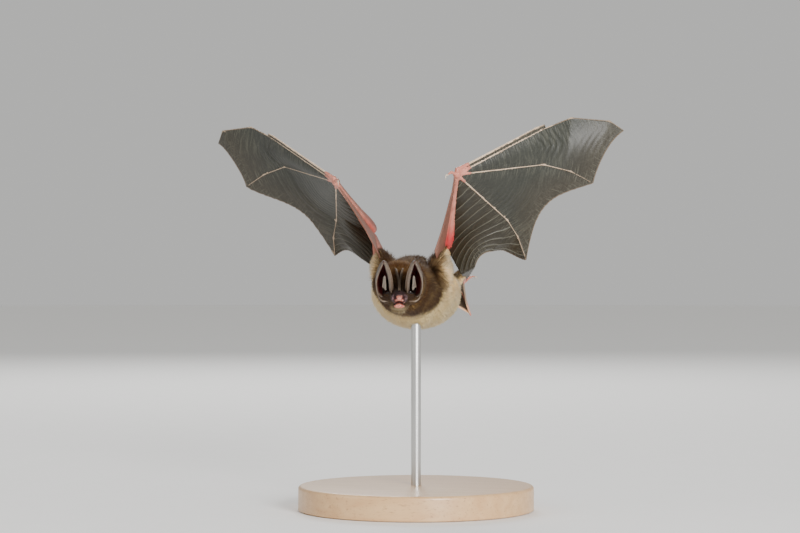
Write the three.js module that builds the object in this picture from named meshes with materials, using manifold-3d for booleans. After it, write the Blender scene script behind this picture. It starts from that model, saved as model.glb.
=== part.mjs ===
// A brown long-eared bat in level flight, wings raised in a V, held over a round base by one rod.
// Millimetres, +Z up. The bat heads along -Y, and its left side is +X. The origin is the middle
// of the base's underside. Every solid is the outline of the coat, so it includes the fur.
import * as THREE from 'three';
import { mergeVertices } from 'three/addons/utils/BufferGeometryUtils.js';
import Module from 'manifold-3d';

const wasm = await Module();
wasm.setup();

// --- Driving dimensions, in millimetres and degrees -----------------------------------------
const GAP = 0.3;                    // clearance between neighbouring pieces
const SKIN = 0.5;                   // thickness of a wing or tail membrane
const WELD = 0.01;                  // points closer than about this are one point

const BASE_RADIUS = 38;
const BASE_THICKNESS = 8;
const BASE_CHAMFER = 1;
const ROD_RADIUS = 1.6;
const ROD_DEPTH = 4.5;              // how far the rod runs up into the coat of the belly
const BODY_HEIGHT = 70;             // middle of the trunk above the table

const TRUNK_FRONT = [-1.7, -13.4, 2.9];
const TRUNK_REAR = [-0.6, 26, -3.6];
const TRUNK_HALF_WIDTH = 14.8;
const TRUNK_HALF_HEIGHT = 12;
const BELLY_RADIUS = 11.9;          // depth of the belly below the trunk's middle, at the rod

const HEAD_PLACE = [-0.3, -22.7, 2.5];
const HEAD_TURN = 13;               // to the bat's left
const NECK_RADIUS = 10;
const NECK_SEAM = -7.5;             // where the neck is parted from the trunk, along Y
const EAR_LENGTH = 34.2;
const EAR_LIFT = 18;                // above level, in the head's own frame
const EAR_SPLAY = 1.1;              // outward
const EAR_DEPTH = 6.6;              // rims to the back of the ear, at its root
const EAR_SHELL = 0.6;

const UPPER_ARM = 21;
const FOREARM = 38;
const THUMB = 6;
const METACARPALS = { 2: 33, 3: 34.5, 4: 34, 5: 33.2 };
const PHALANGES = { 2: [3.5], 3: [13, 12.5, 6], 4: [10.3, 9.8], 5: [8.6, 8.6] };
const WRIST_RADIUS = 1.45;
const KNUCKLE_REACH = 5;            // length of each metacarpal that is one piece with the wrist
const DIGIT_SPREAD = 1.45;          // second digit to third, side by side

const TAIL_RADIUS = 0.8;
const FOOT = 3.4;
const TOE = 2.7;

// Each bone points along [azimuth, elevation]: azimuth turns from the tail (0) outward to the
// wing's own side (90) and on to the nose (180), and elevation is above the level plane.
// skinFront is where the skin in front of the arm meets the shoulder. sags is how far each free
// edge hangs back between the tips, as a share of the fingers, with the skew of its curve.
const LEFT_POSE = {
  side: 1,
  skinFront: [7.3, -8.6, 11.5],
  upperArm: [-3, 25.5],
  forearm: [162, 36.2],
  thumb: [197, 6],
  digits: {
    3: [[48, 25.3], [43.5, 19.5], [73.5, -4.5], [55, -30]],
    4: [[43.7, 6.6], [52.4, -11.3], [44.2, -21.6]],
    5: [[21, -24.4], [21.5, -39], [33, -62]],
  },
  sags: { outer: [0.05, 1], inner: [0.19, 1.1], flank: [0.3, 1.5] },
};
const RIGHT_POSE = {
  side: -1,
  skinFront: [9.4, -8.6, 11],
  upperArm: [28, 42.4],
  forearm: [174.2, 22.9],
  thumb: [200, 10],
  digits: {
    3: [[56, 25.8], [50, 18.4], [65.4, -3.5], [35.3, -41]],
    4: [[44.4, 10.3], [58.8, -12.8], [56, -22.4]],
    5: [[14.2, -19.3], [24.2, -43], [10.4, -44]],
  },
  sags: { outer: [0.06, 1], inner: [0.2, 1.5], flank: [0.22, 1] },
};

// --- Materials ------------------------------------------------------------------------------
const finish = (color, roughness, metalness = 0) =>
  new THREE.MeshStandardMaterial({ color, roughness, metalness });
const BACK_FUR = finish(0x4a3418, 0.95);
const BELLY_FUR = finish(0xe6d8b4, 0.95);
const BARE_SKIN = finish(0xe08870, 0.6);
const ARM_SKIN = finish(0xe8a08c, 0.6);
const BONE_SKIN = finish(0xe8dcc8, 0.6);
const EAR_SKIN = finish(0x8c7868, 0.7);
const TRAGUS_SKIN = finish(0xc8c0b8, 0.6);
const MEMBRANE = finish(0x4a4640, 0.55);
const CORNEA = finish(0x080606, 0.1);
const BEECH = finish(0xc8a070, 0.5);
const STEEL = finish(0xb8b8b8, 0.3, 1);

// --- Points and directions ------------------------------------------------------------------
const vec = (list) => new THREE.Vector3(...list);
const mirrored = (side, [x, y, z]) => vec([side * x, y, z]);

function direction(side, [azimuth, elevation]) {
  const turn = THREE.MathUtils.degToRad(azimuth);
  const lift = THREE.MathUtils.degToRad(elevation);
  return vec([side * Math.sin(turn) * Math.cos(lift), Math.cos(turn) * Math.cos(lift), Math.sin(lift)]);
}

// The joints of a row of bones, from the first joint to the tip.
function boneChain(start, side, lengths, angles) {
  const joints = [start.clone()];
  lengths.forEach((length, i) => {
    const last = joints[joints.length - 1];
    joints.push(last.clone().addScaledVector(direction(side, angles[i]), length));
  });
  return joints;
}

// A point at the fraction t of the length of a row of straight stretches.
function along(points, t) {
  const lengths = points.slice(1).map((point, i) => point.distanceTo(points[i]));
  const total = lengths.reduce((sum, length) => sum + length, 0);
  let left = THREE.MathUtils.clamp(t, 0, 1) * total;
  for (let i = 0; i < lengths.length; i += 1) {
    if (left <= lengths[i] || i === lengths.length - 1) {
      return points[i].clone().lerp(points[i + 1], left / lengths[i]);
    }
    left -= lengths[i];
  }
  return points[0].clone();
}

const smooth = (points) => new THREE.CatmullRomCurve3(points, false, 'centripetal');

// --- Ways of making a closed shape ----------------------------------------------------------
function bare(geometry) {
  geometry.deleteAttribute('normal');
  geometry.deleteAttribute('uv');
  return geometry;
}

// A closed tube: the rows of a unit sphere laid across a path. Each ring is
// [fraction of the path, half-width, half-height], and both ends close in a point.
function sweep(pathPoint, rings, sides, up = [0, 0, 1]) {
  const geometry = new THREE.SphereGeometry(1, sides, rings.length + 1);
  const rows = [[0, 0, 0], ...rings, [1, 0, 0]];
  const place = geometry.attributes.position;
  const point = new THREE.Vector3();
  for (let i = 0; i < place.count; i += 1) {
    const row = Math.floor(i / (sides + 1));
    const [t, halfWidth, halfHeight] = rows[row];
    const spin = ((i % (sides + 1)) / sides) * 2 * Math.PI;
    const ahead = pathPoint(Math.min(t + 0.01, 1)).sub(pathPoint(Math.max(t - 0.01, 0))).normalize();
    const across = ahead.clone().cross(vec(up)).normalize();
    const down = ahead.clone().cross(across);
    point.copy(pathPoint(t));
    point.addScaledVector(across, -halfWidth * Math.cos(spin));
    point.addScaledVector(down, halfHeight * Math.sin(spin));
    place.setXYZ(i, point.x, point.y, point.z);
  }
  return bare(geometry);
}

// A closed sheet of even thickness over surface(u, v), with u and v from 0 to 1.
function sheet(surface, thickness, stepsU, stepsV) {
  const geometry = new THREE.BoxGeometry(1, 1, 1, stepsU, stepsV, 1);
  const place = geometry.attributes.position;
  const tiny = 0.01;
  for (let i = 0; i < place.count; i += 1) {
    const u = place.getX(i) + 0.5;
    const v = place.getY(i) + 0.5;
    const alongU = surface(u + tiny, v).sub(surface(u - tiny, v));
    const alongV = surface(u, v + tiny).sub(surface(u, v - tiny));
    const normal = alongU.cross(alongV).normalize();
    const point = surface(u, v).addScaledVector(normal, place.getZ(i) * thickness);
    place.setXYZ(i, point.x, point.y, point.z);
  }
  return bare(geometry);
}

function ball(centre, radii, sides, rows) {
  const geometry = new THREE.SphereGeometry(1, sides, rows);
  geometry.scale(...radii);
  geometry.translate(...centre);
  return bare(geometry);
}

// --- Joining and cutting ----------------------------------------------------------------------
function solidOf(geometry) {
  const merged = mergeVertices(geometry, 1e-4);
  const vertProperties = new Float32Array(merged.attributes.position.array);
  const triVerts = new Uint32Array(merged.index.array);
  return new wasm.Manifold(new wasm.Mesh({ numProp: 3, vertProperties, triVerts }));
}

// A cut can leave points a hair's breadth apart. They are welded, and the triangles between them
// are left out.
function geometryOf(solid) {
  const { vertProperties, triVerts } = solid.getMesh();
  const geometry = new THREE.BufferGeometry();
  geometry.setAttribute('position', new THREE.BufferAttribute(vertProperties, 3));
  geometry.setIndex(new THREE.BufferAttribute(triVerts, 1));
  const welded = mergeVertices(geometry, WELD);
  const corners = Array.from(welded.index.array);
  const kept = [];
  for (let i = 0; i < corners.length; i += 3) {
    const triangle = corners.slice(i, i + 3);
    if (new Set(triangle).size === 3) {
      kept.push(...triangle);
    }
  }
  welded.setIndex(kept);
  return welded;
}

// The largest piece of what is left of a geometry once others are cut out of it.
function cut(geometry, cutters) {
  const rest = cutters.reduce((solid, cutter) => solid.subtract(solidOf(cutter)), solidOf(geometry));
  const pieces = rest.decompose();
  pieces.sort((a, b) => b.volume() - a.volume());
  return geometryOf(pieces[0]);
}

const join = (geometries) =>
  geometryOf(geometries.slice(1).reduce((solid, next) => solid.add(solidOf(next)), solidOf(geometries[0])));

function named(name, geometry, material) {
  const mesh = new THREE.Mesh(geometry, material);
  mesh.name = name;
  return mesh;
}

// --- Trunk and neck ---------------------------------------------------------------------------
const straight = (from, to) => (t) => vec(from).lerp(vec(to), t);

// Full at the ribs, a little narrower at the hips, round at both ends.
function trunkShape(grow = 0) {
  const rings = [];
  for (const t of [0.02, 0.08, 0.18, 0.3, 0.42, 0.54, 0.66, 0.77, 0.86, 0.93, 0.98]) {
    const fullness = Math.sin(Math.PI * t ** 0.92) ** 0.56;
    rings.push([t, TRUNK_HALF_WIDTH * fullness + grow, TRUNK_HALF_HEIGHT * fullness + grow]);
  }
  const reach = vec(TRUNK_REAR).sub(vec(TRUNK_FRONT)).setLength(grow);
  return sweep(straight(
    vec(TRUNK_FRONT).sub(reach).toArray(),
    vec(TRUNK_REAR).add(reach).toArray(),
  ), rings, 18);
}

// A cone of fur that leaves the back of the skull and runs out over the shoulders.
function neckShape(grow = 0) {
  const rings = [[0.08, 0.73], [0.3, 0.86], [0.55, 0.98], [0.8, 1.08], [0.96, 1.06]].map(([t, swell]) => {
    return [t, NECK_RADIUS * swell + grow, NECK_RADIUS * 0.92 * swell + grow];
  });
  return sweep(straight([-0.4, -18.8, 2.8], [-1, -1, 1]), rings, 14);
}

// A block across the body, to cut away all that lies between two places along Y.
function block(from, to) {
  const geometry = new THREE.BoxGeometry(80, to - from, 80);
  geometry.translate(0, (from + to) / 2, 0);
  return bare(geometry);
}

// Neck and trunk are one form, parted by a thin cut.
function body() {
  const whole = join([trunkShape(), neckShape()]);
  const hole = new THREE.CylinderGeometry(ROD_RADIUS + GAP, ROD_RADIUS + GAP, 2 * BELLY_RADIUS, 12);
  hole.rotateX(Math.PI / 2);
  hole.translate(0, 0, ROD_DEPTH + GAP - 2 * BELLY_RADIUS);
  const headRoom = headShape(GAP).applyMatrix4(headMatrix());
  const trunk = cut(whole, [block(-60, NECK_SEAM + GAP / 2), bare(hole)]);
  const neck = cut(whole, [block(NECK_SEAM - GAP / 2, 60), headRoom]);
  return [named('trunk', trunk, BELLY_FUR), named('neck', neck, BACK_FUR)];
}

// --- Head ---------------------------------------------------------------------------------------
// The head's own frame: -Y is straight ahead from the nose, and the origin is mid-skull.
const NOSE = [0, -12.2, -3.5];
const JAW_TIP = [0, -11.4, -6.1];
const EYE_RADIUS = 1.05;
const EYE = [3.35, -7.3, -1.9];
const EAR_ROOT = [4, -4.6, -3.1];

function headMatrix() {
  const turned = new THREE.Matrix4().makeRotationZ(THREE.MathUtils.degToRad(HEAD_TURN));
  return turned.setPosition(...HEAD_PLACE);
}

// Back of the skull to the nose: round skull, cheeks, then a short narrow muzzle.
function headShape(grow = 0) {
  const path = new THREE.CatmullRomCurve3(
    [[0, 8.2 + grow, 0.8], [0, 2, 0.4], [0, -5, -1.4], [NOSE[0], NOSE[1] - grow, NOSE[2]]].map(vec),
  );
  const rings = [
    [0.02, 3.8, 3.4], [0.1, 6.9, 5.9], [0.24, 8.2, 6.9], [0.4, 8.1, 6.7], [0.54, 7.0, 5.6],
    [0.66, 5.2, 4.1], [0.77, 3.7, 2.8], [0.87, 2.8, 1.9], [0.95, 2.3, 1.45], [0.99, 1.5, 0.9],
  ];
  const grown = rings.map(([t, width, height]) => [t, width + grow, height + grow]);
  return sweep((t) => path.getPointAt(t), grown, 14);
}

const eyeShape = (side, grow = 0) => {
  const radius = EYE_RADIUS + grow;
  return ball([side * EYE[0], EYE[1], EYE[2]], [radius, radius, radius], 8, 6);
};

// The mouth is a little open, so the jaw stands clear of the muzzle at its tip.
function lowerJaw() {
  const rings = [[0.06, 2.3, 1.0], [0.35, 2.5, 1.3], [0.65, 2.2, 1.1], [0.88, 1.7, 0.8], [0.97, 1.1, 0.5]];
  const shape = sweep(straight([0, -2.5, -6.4], JAW_TIP), rings, 10);
  return named('lower_jaw', cut(shape, [headShape(GAP)]), BARE_SKIN);
}

// The shell of an ear: a deep trough that lies along the line of sight of the animal. Its rims
// run from beside the mouth and from the brow to the tip, and its back is the upper side.
function earSurface(side) {
  const heading = direction(side, [180 - EAR_SPLAY, EAR_LIFT]);
  return (u, v) => {
    const reach = THREE.MathUtils.clamp(v, 0, 1);
    const taper = Math.max(1 - reach ** 2.6, 0.04);
    const halfWidth = (2.3 + 0.8 * Math.sin(Math.PI * reach)) * taper;
    const depth = EAR_DEPTH * Math.max(1 - reach ** 2, 0.03);
    const rim = mirrored(side, EAR_ROOT).addScaledVector(heading, reach * EAR_LENGTH);
    const turn = (u - 0.5) * Math.PI * 1.06;
    const rise = Math.cos(turn) * depth;
    return rim.add(vec([side * Math.sin(turn) * halfWidth, 0.34 * rise, 0.94 * rise]));
  };
}

function ear(side, name) {
  const shell = sheet(earSurface(side), EAR_SHELL, 7, 6);
  return named(name, cut(shell, [headShape(GAP), eyeShape(side, GAP)]), EAR_SKIN);
}

// The tragus is a tall narrow lobe that stands in the mouth of the ear.
function tragus(side, name) {
  const surface = (u, v) => {
    const halfWidth = 1.0 * Math.max(1 - v, 0) ** 0.8 + 0.25;
    const arch = 0.6 * Math.sin(Math.PI * v);
    const place = vec([side * (4.7 - 0.3 * v), -8.2 - 14.2 * v, -0.7 + 3.8 * v + arch]);
    const spread = (u - 0.5) * 2 * halfWidth;
    return place.add(vec([side * 0.75 * spread, 0, 0.66 * spread]));
  };
  return named(name, cut(sheet(surface, 0.55, 3, 6), [headShape(GAP)]), TRAGUS_SKIN);
}

function head() {
  const group = new THREE.Group();
  group.applyMatrix4(headMatrix());
  const skull = cut(headShape(), [eyeShape(1, GAP), eyeShape(-1, GAP)]);
  group.add(named('head', skull, BACK_FUR), lowerJaw());
  group.add(named('eye_l', eyeShape(1), CORNEA), named('eye_r', eyeShape(-1), CORNEA));
  group.add(ear(1, 'ear_l'), ear(-1, 'ear_r'));
  group.add(tragus(1, 'tragus_l'), tragus(-1, 'tragus_r'));
  return group;
}

// --- Wings ----------------------------------------------------------------------------------------
const SHOULDER = [8.5, -7, 6];
const FLANK = [12.4, 12, 6];      // where the wing skin meets the side of the body
const LEG = {
  hip: [4.5, 18, -1.5],
  knee: [10.4, 29.4, 7.2],
  ankle: [6.6, 44.2, 2.9],
  toes: [8.6, 50.4, 6.6],
};

// Joints of one wing, by name.
function wingJoints(pose) {
  const { side, digits } = pose;
  const shoulder = mirrored(side, SHOULDER);
  const elbow = shoulder.clone().addScaledVector(direction(side, pose.upperArm), UPPER_ARM);
  const wrist = elbow.clone().addScaledVector(direction(side, pose.forearm), FOREARM);
  const fingers = {};
  for (const digit of [3, 4, 5]) {
    fingers[digit] = boneChain(wrist, side, [METACARPALS[digit], ...PHALANGES[digit]], digits[digit]);
  }
  const third = direction(side, digits[3][0]);
  const fourth = direction(side, digits[4][0]);
  const leading = third.clone().multiplyScalar(third.dot(fourth)).sub(fourth).setLength(DIGIT_SPREAD);
  const second = boneChain(wrist.clone().add(leading), side, [METACARPALS[2], ...PHALANGES[2]], digits[3]);
  return { shoulder, elbow, wrist, fingers: { 2: second, ...fingers } };
}

// A finger past the wrist: slim shafts, a small knob at each joint, and a blunt tip.
function fingerShape(joints) {
  const lengths = joints.slice(1).map((joint, i) => joint.distanceTo(joints[i]));
  const total = lengths.reduce((sum, length) => sum + length, 0);
  const first = (KNUCKLE_REACH + GAP) / total;
  const radius = (t) => 0.56 - 0.26 * t;
  const rings = [[first + 0.004, radius(0), radius(0)]];
  let gone = 0;
  lengths.forEach((length, i) => {
    const middle = (Math.max(gone, KNUCKLE_REACH) + gone + length) / 2 / total;
    rings.push([middle, radius(middle), radius(middle)]);
    gone += length;
    if (i < lengths.length - 1) {
      for (const offset of [-0.9, 0.9]) {
        rings.push([(gone + offset) / total, radius(gone / total) + 0.14, radius(gone / total) + 0.14]);
      }
    }
  });
  rings.push([0.992, radius(1), radius(1)]);
  const scale = 1 - first;
  const cropped = rings.map(([t, width, height]) => [(t - first) / scale, width, height]);
  const pathPoint = (t) => along(joints, first + t * scale);
  return sweep(pathPoint, cropped, 6, [0, 0.2, 1]);
}

// The room that a finger and its clearance take out of the skin beside it.
function fingerRoom(joints) {
  const lengths = joints.slice(1).map((joint, i) => joint.distanceTo(joints[i]));
  const total = lengths.reduce((sum, length) => sum + length, 0);
  const radius = (t) => 0.7 - 0.26 * t + GAP;
  const stops = [0.01];
  lengths.slice(0, -1).reduce((gone, length) => stops[stops.push((gone + length) / total) - 1] * total, 0);
  stops.push(0.99);
  return sweep((t) => along(joints, t), stops.map((t) => [t, radius(t), radius(t)]), 6, [0, 0.2, 1]);
}

// The wrist with the first stretch of every metacarpal in one piece.
function wristShape(joints, grow = 0) {
  const { wrist, fingers } = joints;
  const radius = WRIST_RADIUS + grow;
  const stubs = Object.values(fingers).map((finger) => {
    const end = finger[0].clone().lerp(finger[1], (KNUCKLE_REACH + grow) / finger[0].distanceTo(finger[1]));
    const size = 0.62 + grow;
    const rings = [[0.04, size, size], [0.97, size, size]];
    return sweep((t) => finger[0].clone().lerp(end, t), rings, 5, [0, 0.2, 1]);
  });
  return join([ball(wrist.toArray(), [radius, radius, radius], 8, 6), ...stubs]);
}

function forearmShape(joints, grow = 0) {
  const wristEnd = joints.elbow.clone().lerp(joints.wrist, 1 - (WRIST_RADIUS + GAP - grow) / FOREARM);
  const radii = [[0.015, 1.3], [0.06, 1.9], [0.18, 1.95], [0.4, 1.5], [0.7, 1.1], [0.99, 0.8]];
  const grown = radii.map(([t, radius]) => [t, radius + grow, radius + grow]);
  return sweep((t) => joints.elbow.clone().lerp(wristEnd, t), grown, 8, [1, 0, 0]);
}

// The upper arm is furred, thick at the shoulder, with the fur of the armpit hanging below it.
function upperArmShape(joints, grow = 0) {
  const rings = [[0.04, 4.2, 4.4], [0.25, 4.6, 5.2], [0.5, 4.0, 4.8], [0.75, 3.0, 3.6], [0.94, 2.3, 2.6]];
  const grown = rings.map(([t, width, height]) => [t, width + grow, height + grow]);
  const drop = vec([0, 0, -0.8]);
  return sweep((t) => joints.shoulder.clone().lerp(joints.elbow, t).add(drop), grown, 12);
}

function thumbShape(joints, pose, grow = 0) {
  const forward = direction(pose.side, pose.thumb);
  const root = joints.wrist.clone().addScaledVector(forward, WRIST_RADIUS + GAP - grow);
  const tip = joints.wrist.clone().addScaledVector(forward, THUMB + grow);
  tip.z -= 1.1;
  const path = smooth([root, root.clone().lerp(tip, 0.6).add(vec([0, 0, 0.7])), tip]);
  const rings = [[0.03, 0.6], [0.4, 0.55], [0.75, 0.45], [0.97, 0.28]];
  return sweep((t) => path.getPointAt(t), rings.map(([t, r]) => [t, r + grow, r + grow]), 6);
}

// The skin between two rows of joints that leave the same wrist. The free edge hangs back between
// the tips by sag, as a share of the fingers' length, most of all past the middle when skew is
// over 1, and the skin bellies towards the back.
function panel(inner, outer, { sag, skew, belly, start, back }) {
  return (u, v) => {
    const across = THREE.MathUtils.clamp(u, 0, 1) ** skew;
    const reach = (start + (1 - start) * v) * (1 - sag * 4 * across * (1 - across) * Math.max(v, 0));
    const point = inner(reach).lerp(outer(reach), u);
    const bulge = Math.sin(Math.PI * across) * Math.sin(Math.PI * reach * 0.75);
    return point.addScaledVector(back, belly * bulge);
  };
}

// The side of the wing that faces up and in towards the spine.
function backOfHand(joints, side) {
  const third = joints.fingers[3][1].clone().sub(joints.wrist);
  const fifth = joints.fingers[5][1].clone().sub(joints.wrist);
  return fifth.cross(third).multiplyScalar(side).normalize();
}

function handSkin(joints, side, from, to, [sag, skew], name, cutters) {
  const surface = panel(
    (t) => along(joints.fingers[from], t),
    (t) => along(joints.fingers[to], t),
    { sag, skew, belly: 1.6, start: 0.09, back: backOfHand(joints, side) },
  );
  return named(name, cut(sheet(surface, SKIN, 3, 7), cutters), MEMBRANE);
}

function legJoints(side) {
  return Object.fromEntries(Object.entries(LEG).map(([name, place]) => [name, mirrored(side, place)]));
}

// The broad skin from the fifth finger to the arm, the side of the body and the leg.
function flankSkin(joints, legs, { side, sags }, name, cutters) {
  const heel = legs.ankle.clone().lerp(legs.toes, 0.35);
  const inner = [joints.wrist, joints.elbow, mirrored(side, FLANK), heel];
  const shares = [0, 0.46, 0.74, 1];
  const innerPoint = (t) => {
    const clamped = THREE.MathUtils.clamp(t, 0, 1);
    const i = shares.findIndex((share, k) => k > 0 && clamped <= share) - 1;
    return inner[i].clone().lerp(inner[i + 1], (clamped - shares[i]) / (shares[i + 1] - shares[i]));
  };
  const surface = panel(
    (t) => along(joints.fingers[5], t),
    innerPoint,
    { sag: sags.flank[0], skew: sags.flank[1], belly: 1.8, start: 0.09, back: backOfHand(joints, side) },
  );
  return named(name, cut(sheet(surface, SKIN, 6, 9), cutters), MEMBRANE);
}

// The narrow skin in front of the arm, from the shoulder to the wrist.
function leadingSkin(joints, pose, name, cutters) {
  const front = mirrored(pose.side, pose.skinFront);
  const surface = (u, v) => {
    const t = 0.06 + 0.86 * v;
    const sag = 0.12 * Math.sin(Math.PI * t);
    const arm = along([joints.wrist, joints.elbow, joints.shoulder], t);
    return joints.wrist.clone().lerp(front, t).lerp(arm, sag + (1 - sag) * u);
  };
  return named(name, cut(sheet(surface, SKIN, 2, 8), cutters), MEMBRANE);
}

function wing(pose, suffix, legs) {
  const { side } = pose;
  const joints = wingJoints(pose);
  const room = (digit) => fingerRoom(joints.fingers[digit]);
  const group = new THREE.Group();
  const arm = cut(upperArmShape(joints), [trunkShape(GAP), neckShape(GAP), forearmShape(joints, GAP)]);
  group.add(named(`upper_arm_${suffix}`, arm, BACK_FUR));
  group.add(named(`forearm_${suffix}`, cut(forearmShape(joints), [wristShape(joints, GAP)]), ARM_SKIN));
  group.add(named(`wrist_${suffix}`, wristShape(joints), ARM_SKIN));
  group.add(named(`thumb_${suffix}`, cut(thumbShape(joints, pose), [wristShape(joints, GAP)]), ARM_SKIN));
  for (const digit of [2, 3, 4, 5]) {
    group.add(named(`digit${digit}_${suffix}`, fingerShape(joints.fingers[digit]), BONE_SKIN));
  }
  const hand = wristShape(joints, GAP);
  const bodyRoom = [trunkShape(GAP), neckShape(GAP)];
  const armRoom = [hand, forearmShape(joints, GAP), upperArmShape(joints, GAP), ...bodyRoom];
  const thumbRoom = thumbShape(joints, pose, GAP);
  group.add(leadingSkin(joints, pose, `leading_skin_${suffix}`, [...armRoom, thumbRoom]));
  const outer = [hand, room(2), room(3), room(4)];
  group.add(handSkin(joints, side, 3, 4, pose.sags.outer, `hand_skin_outer_${suffix}`, outer));
  const inner = [hand, room(4), room(5)];
  group.add(handSkin(joints, side, 4, 5, pose.sags.inner, `hand_skin_inner_${suffix}`, inner));
  const flankRoom = [...armRoom, room(5), ...legShapes(legs, GAP)];
  group.add(flankSkin(joints, legs, pose, `flank_skin_${suffix}`, flankRoom));
  return group;
}

// --- Legs and tail --------------------------------------------------------------------------------
const TAIL = [[0, 23, -2.8], [1.2, 38, 3], [3.8, 53, 0.8], [5.6, 62.5, -8.7]];
const CALCAR_END = { 1: [8.2, 42, -4.5], '-1': [5.6, 46.5, -6.2] };
const tailCurve = smooth(TAIL.map(vec));

function limb(from, to, radii, grow = 0, sides = 8) {
  const rings = radii.map(([t, radius]) => [t, radius + grow, radius + grow]);
  return sweep((t) => from.clone().lerp(to, t), rings, sides);
}

const thighShape = (legs, grow = 0) =>
  limb(legs.hip, legs.knee, [[0.05, 3.2], [0.4, 2.9], [0.75, 2.1], [0.96, 1.3]], grow);

const shankShape = (legs, grow = 0) =>
  limb(legs.knee, legs.ankle, [[0.03, 1.1], [0.15, 1.25], [0.6, 0.8], [0.97, 0.65]], grow, 6);

// A narrow sole with five slim toes that lie side by side.
function footShape(legs, grow = 0) {
  const ahead = legs.toes.clone().sub(legs.ankle).normalize();
  const across = ahead.clone().cross(vec([0, 0, 1])).normalize();
  const heel = legs.ankle.clone().addScaledVector(ahead, 0.9 - grow);
  const toeRoot = heel.clone().addScaledVector(ahead, FOOT);
  const sole = sweep(
    (t) => heel.clone().lerp(toeRoot, t),
    [[0.06, 0.7 + grow, 0.6 + grow], [0.5, 1.0 + grow, 0.6 + grow], [0.94, 1.25 + grow, 0.5 + grow]],
    6,
  );
  const toes = [-2, -1, 0, 1, 2].map((place) => {
    const root = toeRoot.clone().addScaledVector(across, place * 0.5).addScaledVector(ahead, -0.8);
    const tip = root.clone().addScaledVector(ahead, TOE + grow).addScaledVector(across, place * 0.35);
    tip.z -= 0.9;
    return limb(root, tip, [[0.05, 0.34], [0.9, 0.27]], grow, 5);
  });
  return join([sole, ...toes]);
}

// The spur of the heel that stretches the edge of the tail skin.
function calcarShape(side, legs, grow = 0) {
  const end = mirrored(side, CALCAR_END[side]);
  const start = legs.ankle.clone().lerp(end, (1.1 - grow) / legs.ankle.distanceTo(end));
  return limb(start, end, [[0.04, 0.4], [0.9, 0.3]], grow, 5);
}

const legShapes = (legs, grow) => [thighShape(legs, grow), shankShape(legs, grow), footShape(legs, grow)];

function leg(side, suffix, legs) {
  const group = new THREE.Group();
  const thigh = cut(thighShape(legs), [trunkShape(GAP), shankShape(legs, GAP)]);
  group.add(named(`thigh_${suffix}`, thigh, BACK_FUR));
  group.add(named(`shank_${suffix}`, shankShape(legs), ARM_SKIN));
  group.add(named(`foot_${suffix}`, cut(footShape(legs), [shankShape(legs, GAP)]), ARM_SKIN));
  const calcarRoom = [shankShape(legs, GAP), footShape(legs, GAP)];
  group.add(named(`calcar_${suffix}`, cut(calcarShape(side, legs), calcarRoom), BONE_SKIN));
  return group;
}

function tailShape(grow = 0) {
  const rings = [0.02, 0.2, 0.4, 0.6, 0.8, 0.98].map((t) => {
    const radius = TAIL_RADIUS * (1.15 - 0.65 * t) + grow;
    return [t, radius, radius];
  });
  return sweep((t) => tailCurve.getPointAt(t), rings, 6);
}

// One half of the tail skin, from the tail out to the leg and the spur of the heel.
function tailSkin(side, suffix, legs) {
  const outer = [legs.hip, legs.knee, legs.ankle, mirrored(side, CALCAR_END[side])];
  const surface = (u, v) => {
    const across = Math.sin(Math.PI * THREE.MathUtils.clamp(u, 0, 1));
    const t = 0.02 + 0.96 * v * (1 - 0.1 * across);
    const droop = 1.2 * across * Math.sin(Math.PI * t * 0.8);
    return tailCurve.getPointAt(t).lerp(along(outer, t), u).add(vec([0, 0, -droop]));
  };
  const cutters = [trunkShape(GAP), tailShape(GAP), calcarShape(side, legs, GAP), ...legShapes(legs, GAP)];
  return named(`tail_skin_${suffix}`, cut(sheet(surface, SKIN, 3, 6), cutters), MEMBRANE);
}

// --- Display stand --------------------------------------------------------------------------------
function standBase() {
  const rim = BASE_RADIUS - BASE_CHAMFER;
  const shoulder = BASE_THICKNESS - BASE_CHAMFER;
  const outline = [[0, 0], [BASE_RADIUS, 0], [BASE_RADIUS, shoulder], [rim, BASE_THICKNESS]];
  const profile = [...outline, [0, BASE_THICKNESS]];
  const points = profile.map(([radius, height]) => new THREE.Vector2(radius, height));
  const base = new THREE.LatheGeometry(points, 40);
  base.rotateX(Math.PI / 2);
  return named('stand_base', bare(base), BEECH);
}

function standRod() {
  const top = BODY_HEIGHT - BELLY_RADIUS + ROD_DEPTH;
  const rod = new THREE.CylinderGeometry(ROD_RADIUS, ROD_RADIUS, top - BASE_THICKNESS, 16);
  rod.rotateX(Math.PI / 2);
  rod.translate(0, 0, (top + BASE_THICKNESS) / 2);
  return named('stand_rod', bare(rod), STEEL);
}

// --- The whole model ------------------------------------------------------------------------------
function bat() {
  const group = new THREE.Group();
  group.position.z = BODY_HEIGHT;
  group.add(...body(), head());
  for (const pose of [LEFT_POSE, RIGHT_POSE]) {
    const suffix = pose.side > 0 ? 'l' : 'r';
    const legs = legJoints(pose.side);
    group.add(wing(pose, suffix, legs), leg(pose.side, suffix, legs), tailSkin(pose.side, suffix, legs));
  }
  const tail = cut(tailShape(), [trunkShape(GAP)]);
  group.add(named('tail', tail, BARE_SKIN));
  return group;
}

const model = new THREE.Group();
model.add(standBase(), standRod(), bat());
export default model;
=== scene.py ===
# %% Frame
import math

import bpy
import numpy as np
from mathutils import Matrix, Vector
from mathutils.kdtree import KDTree


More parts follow.
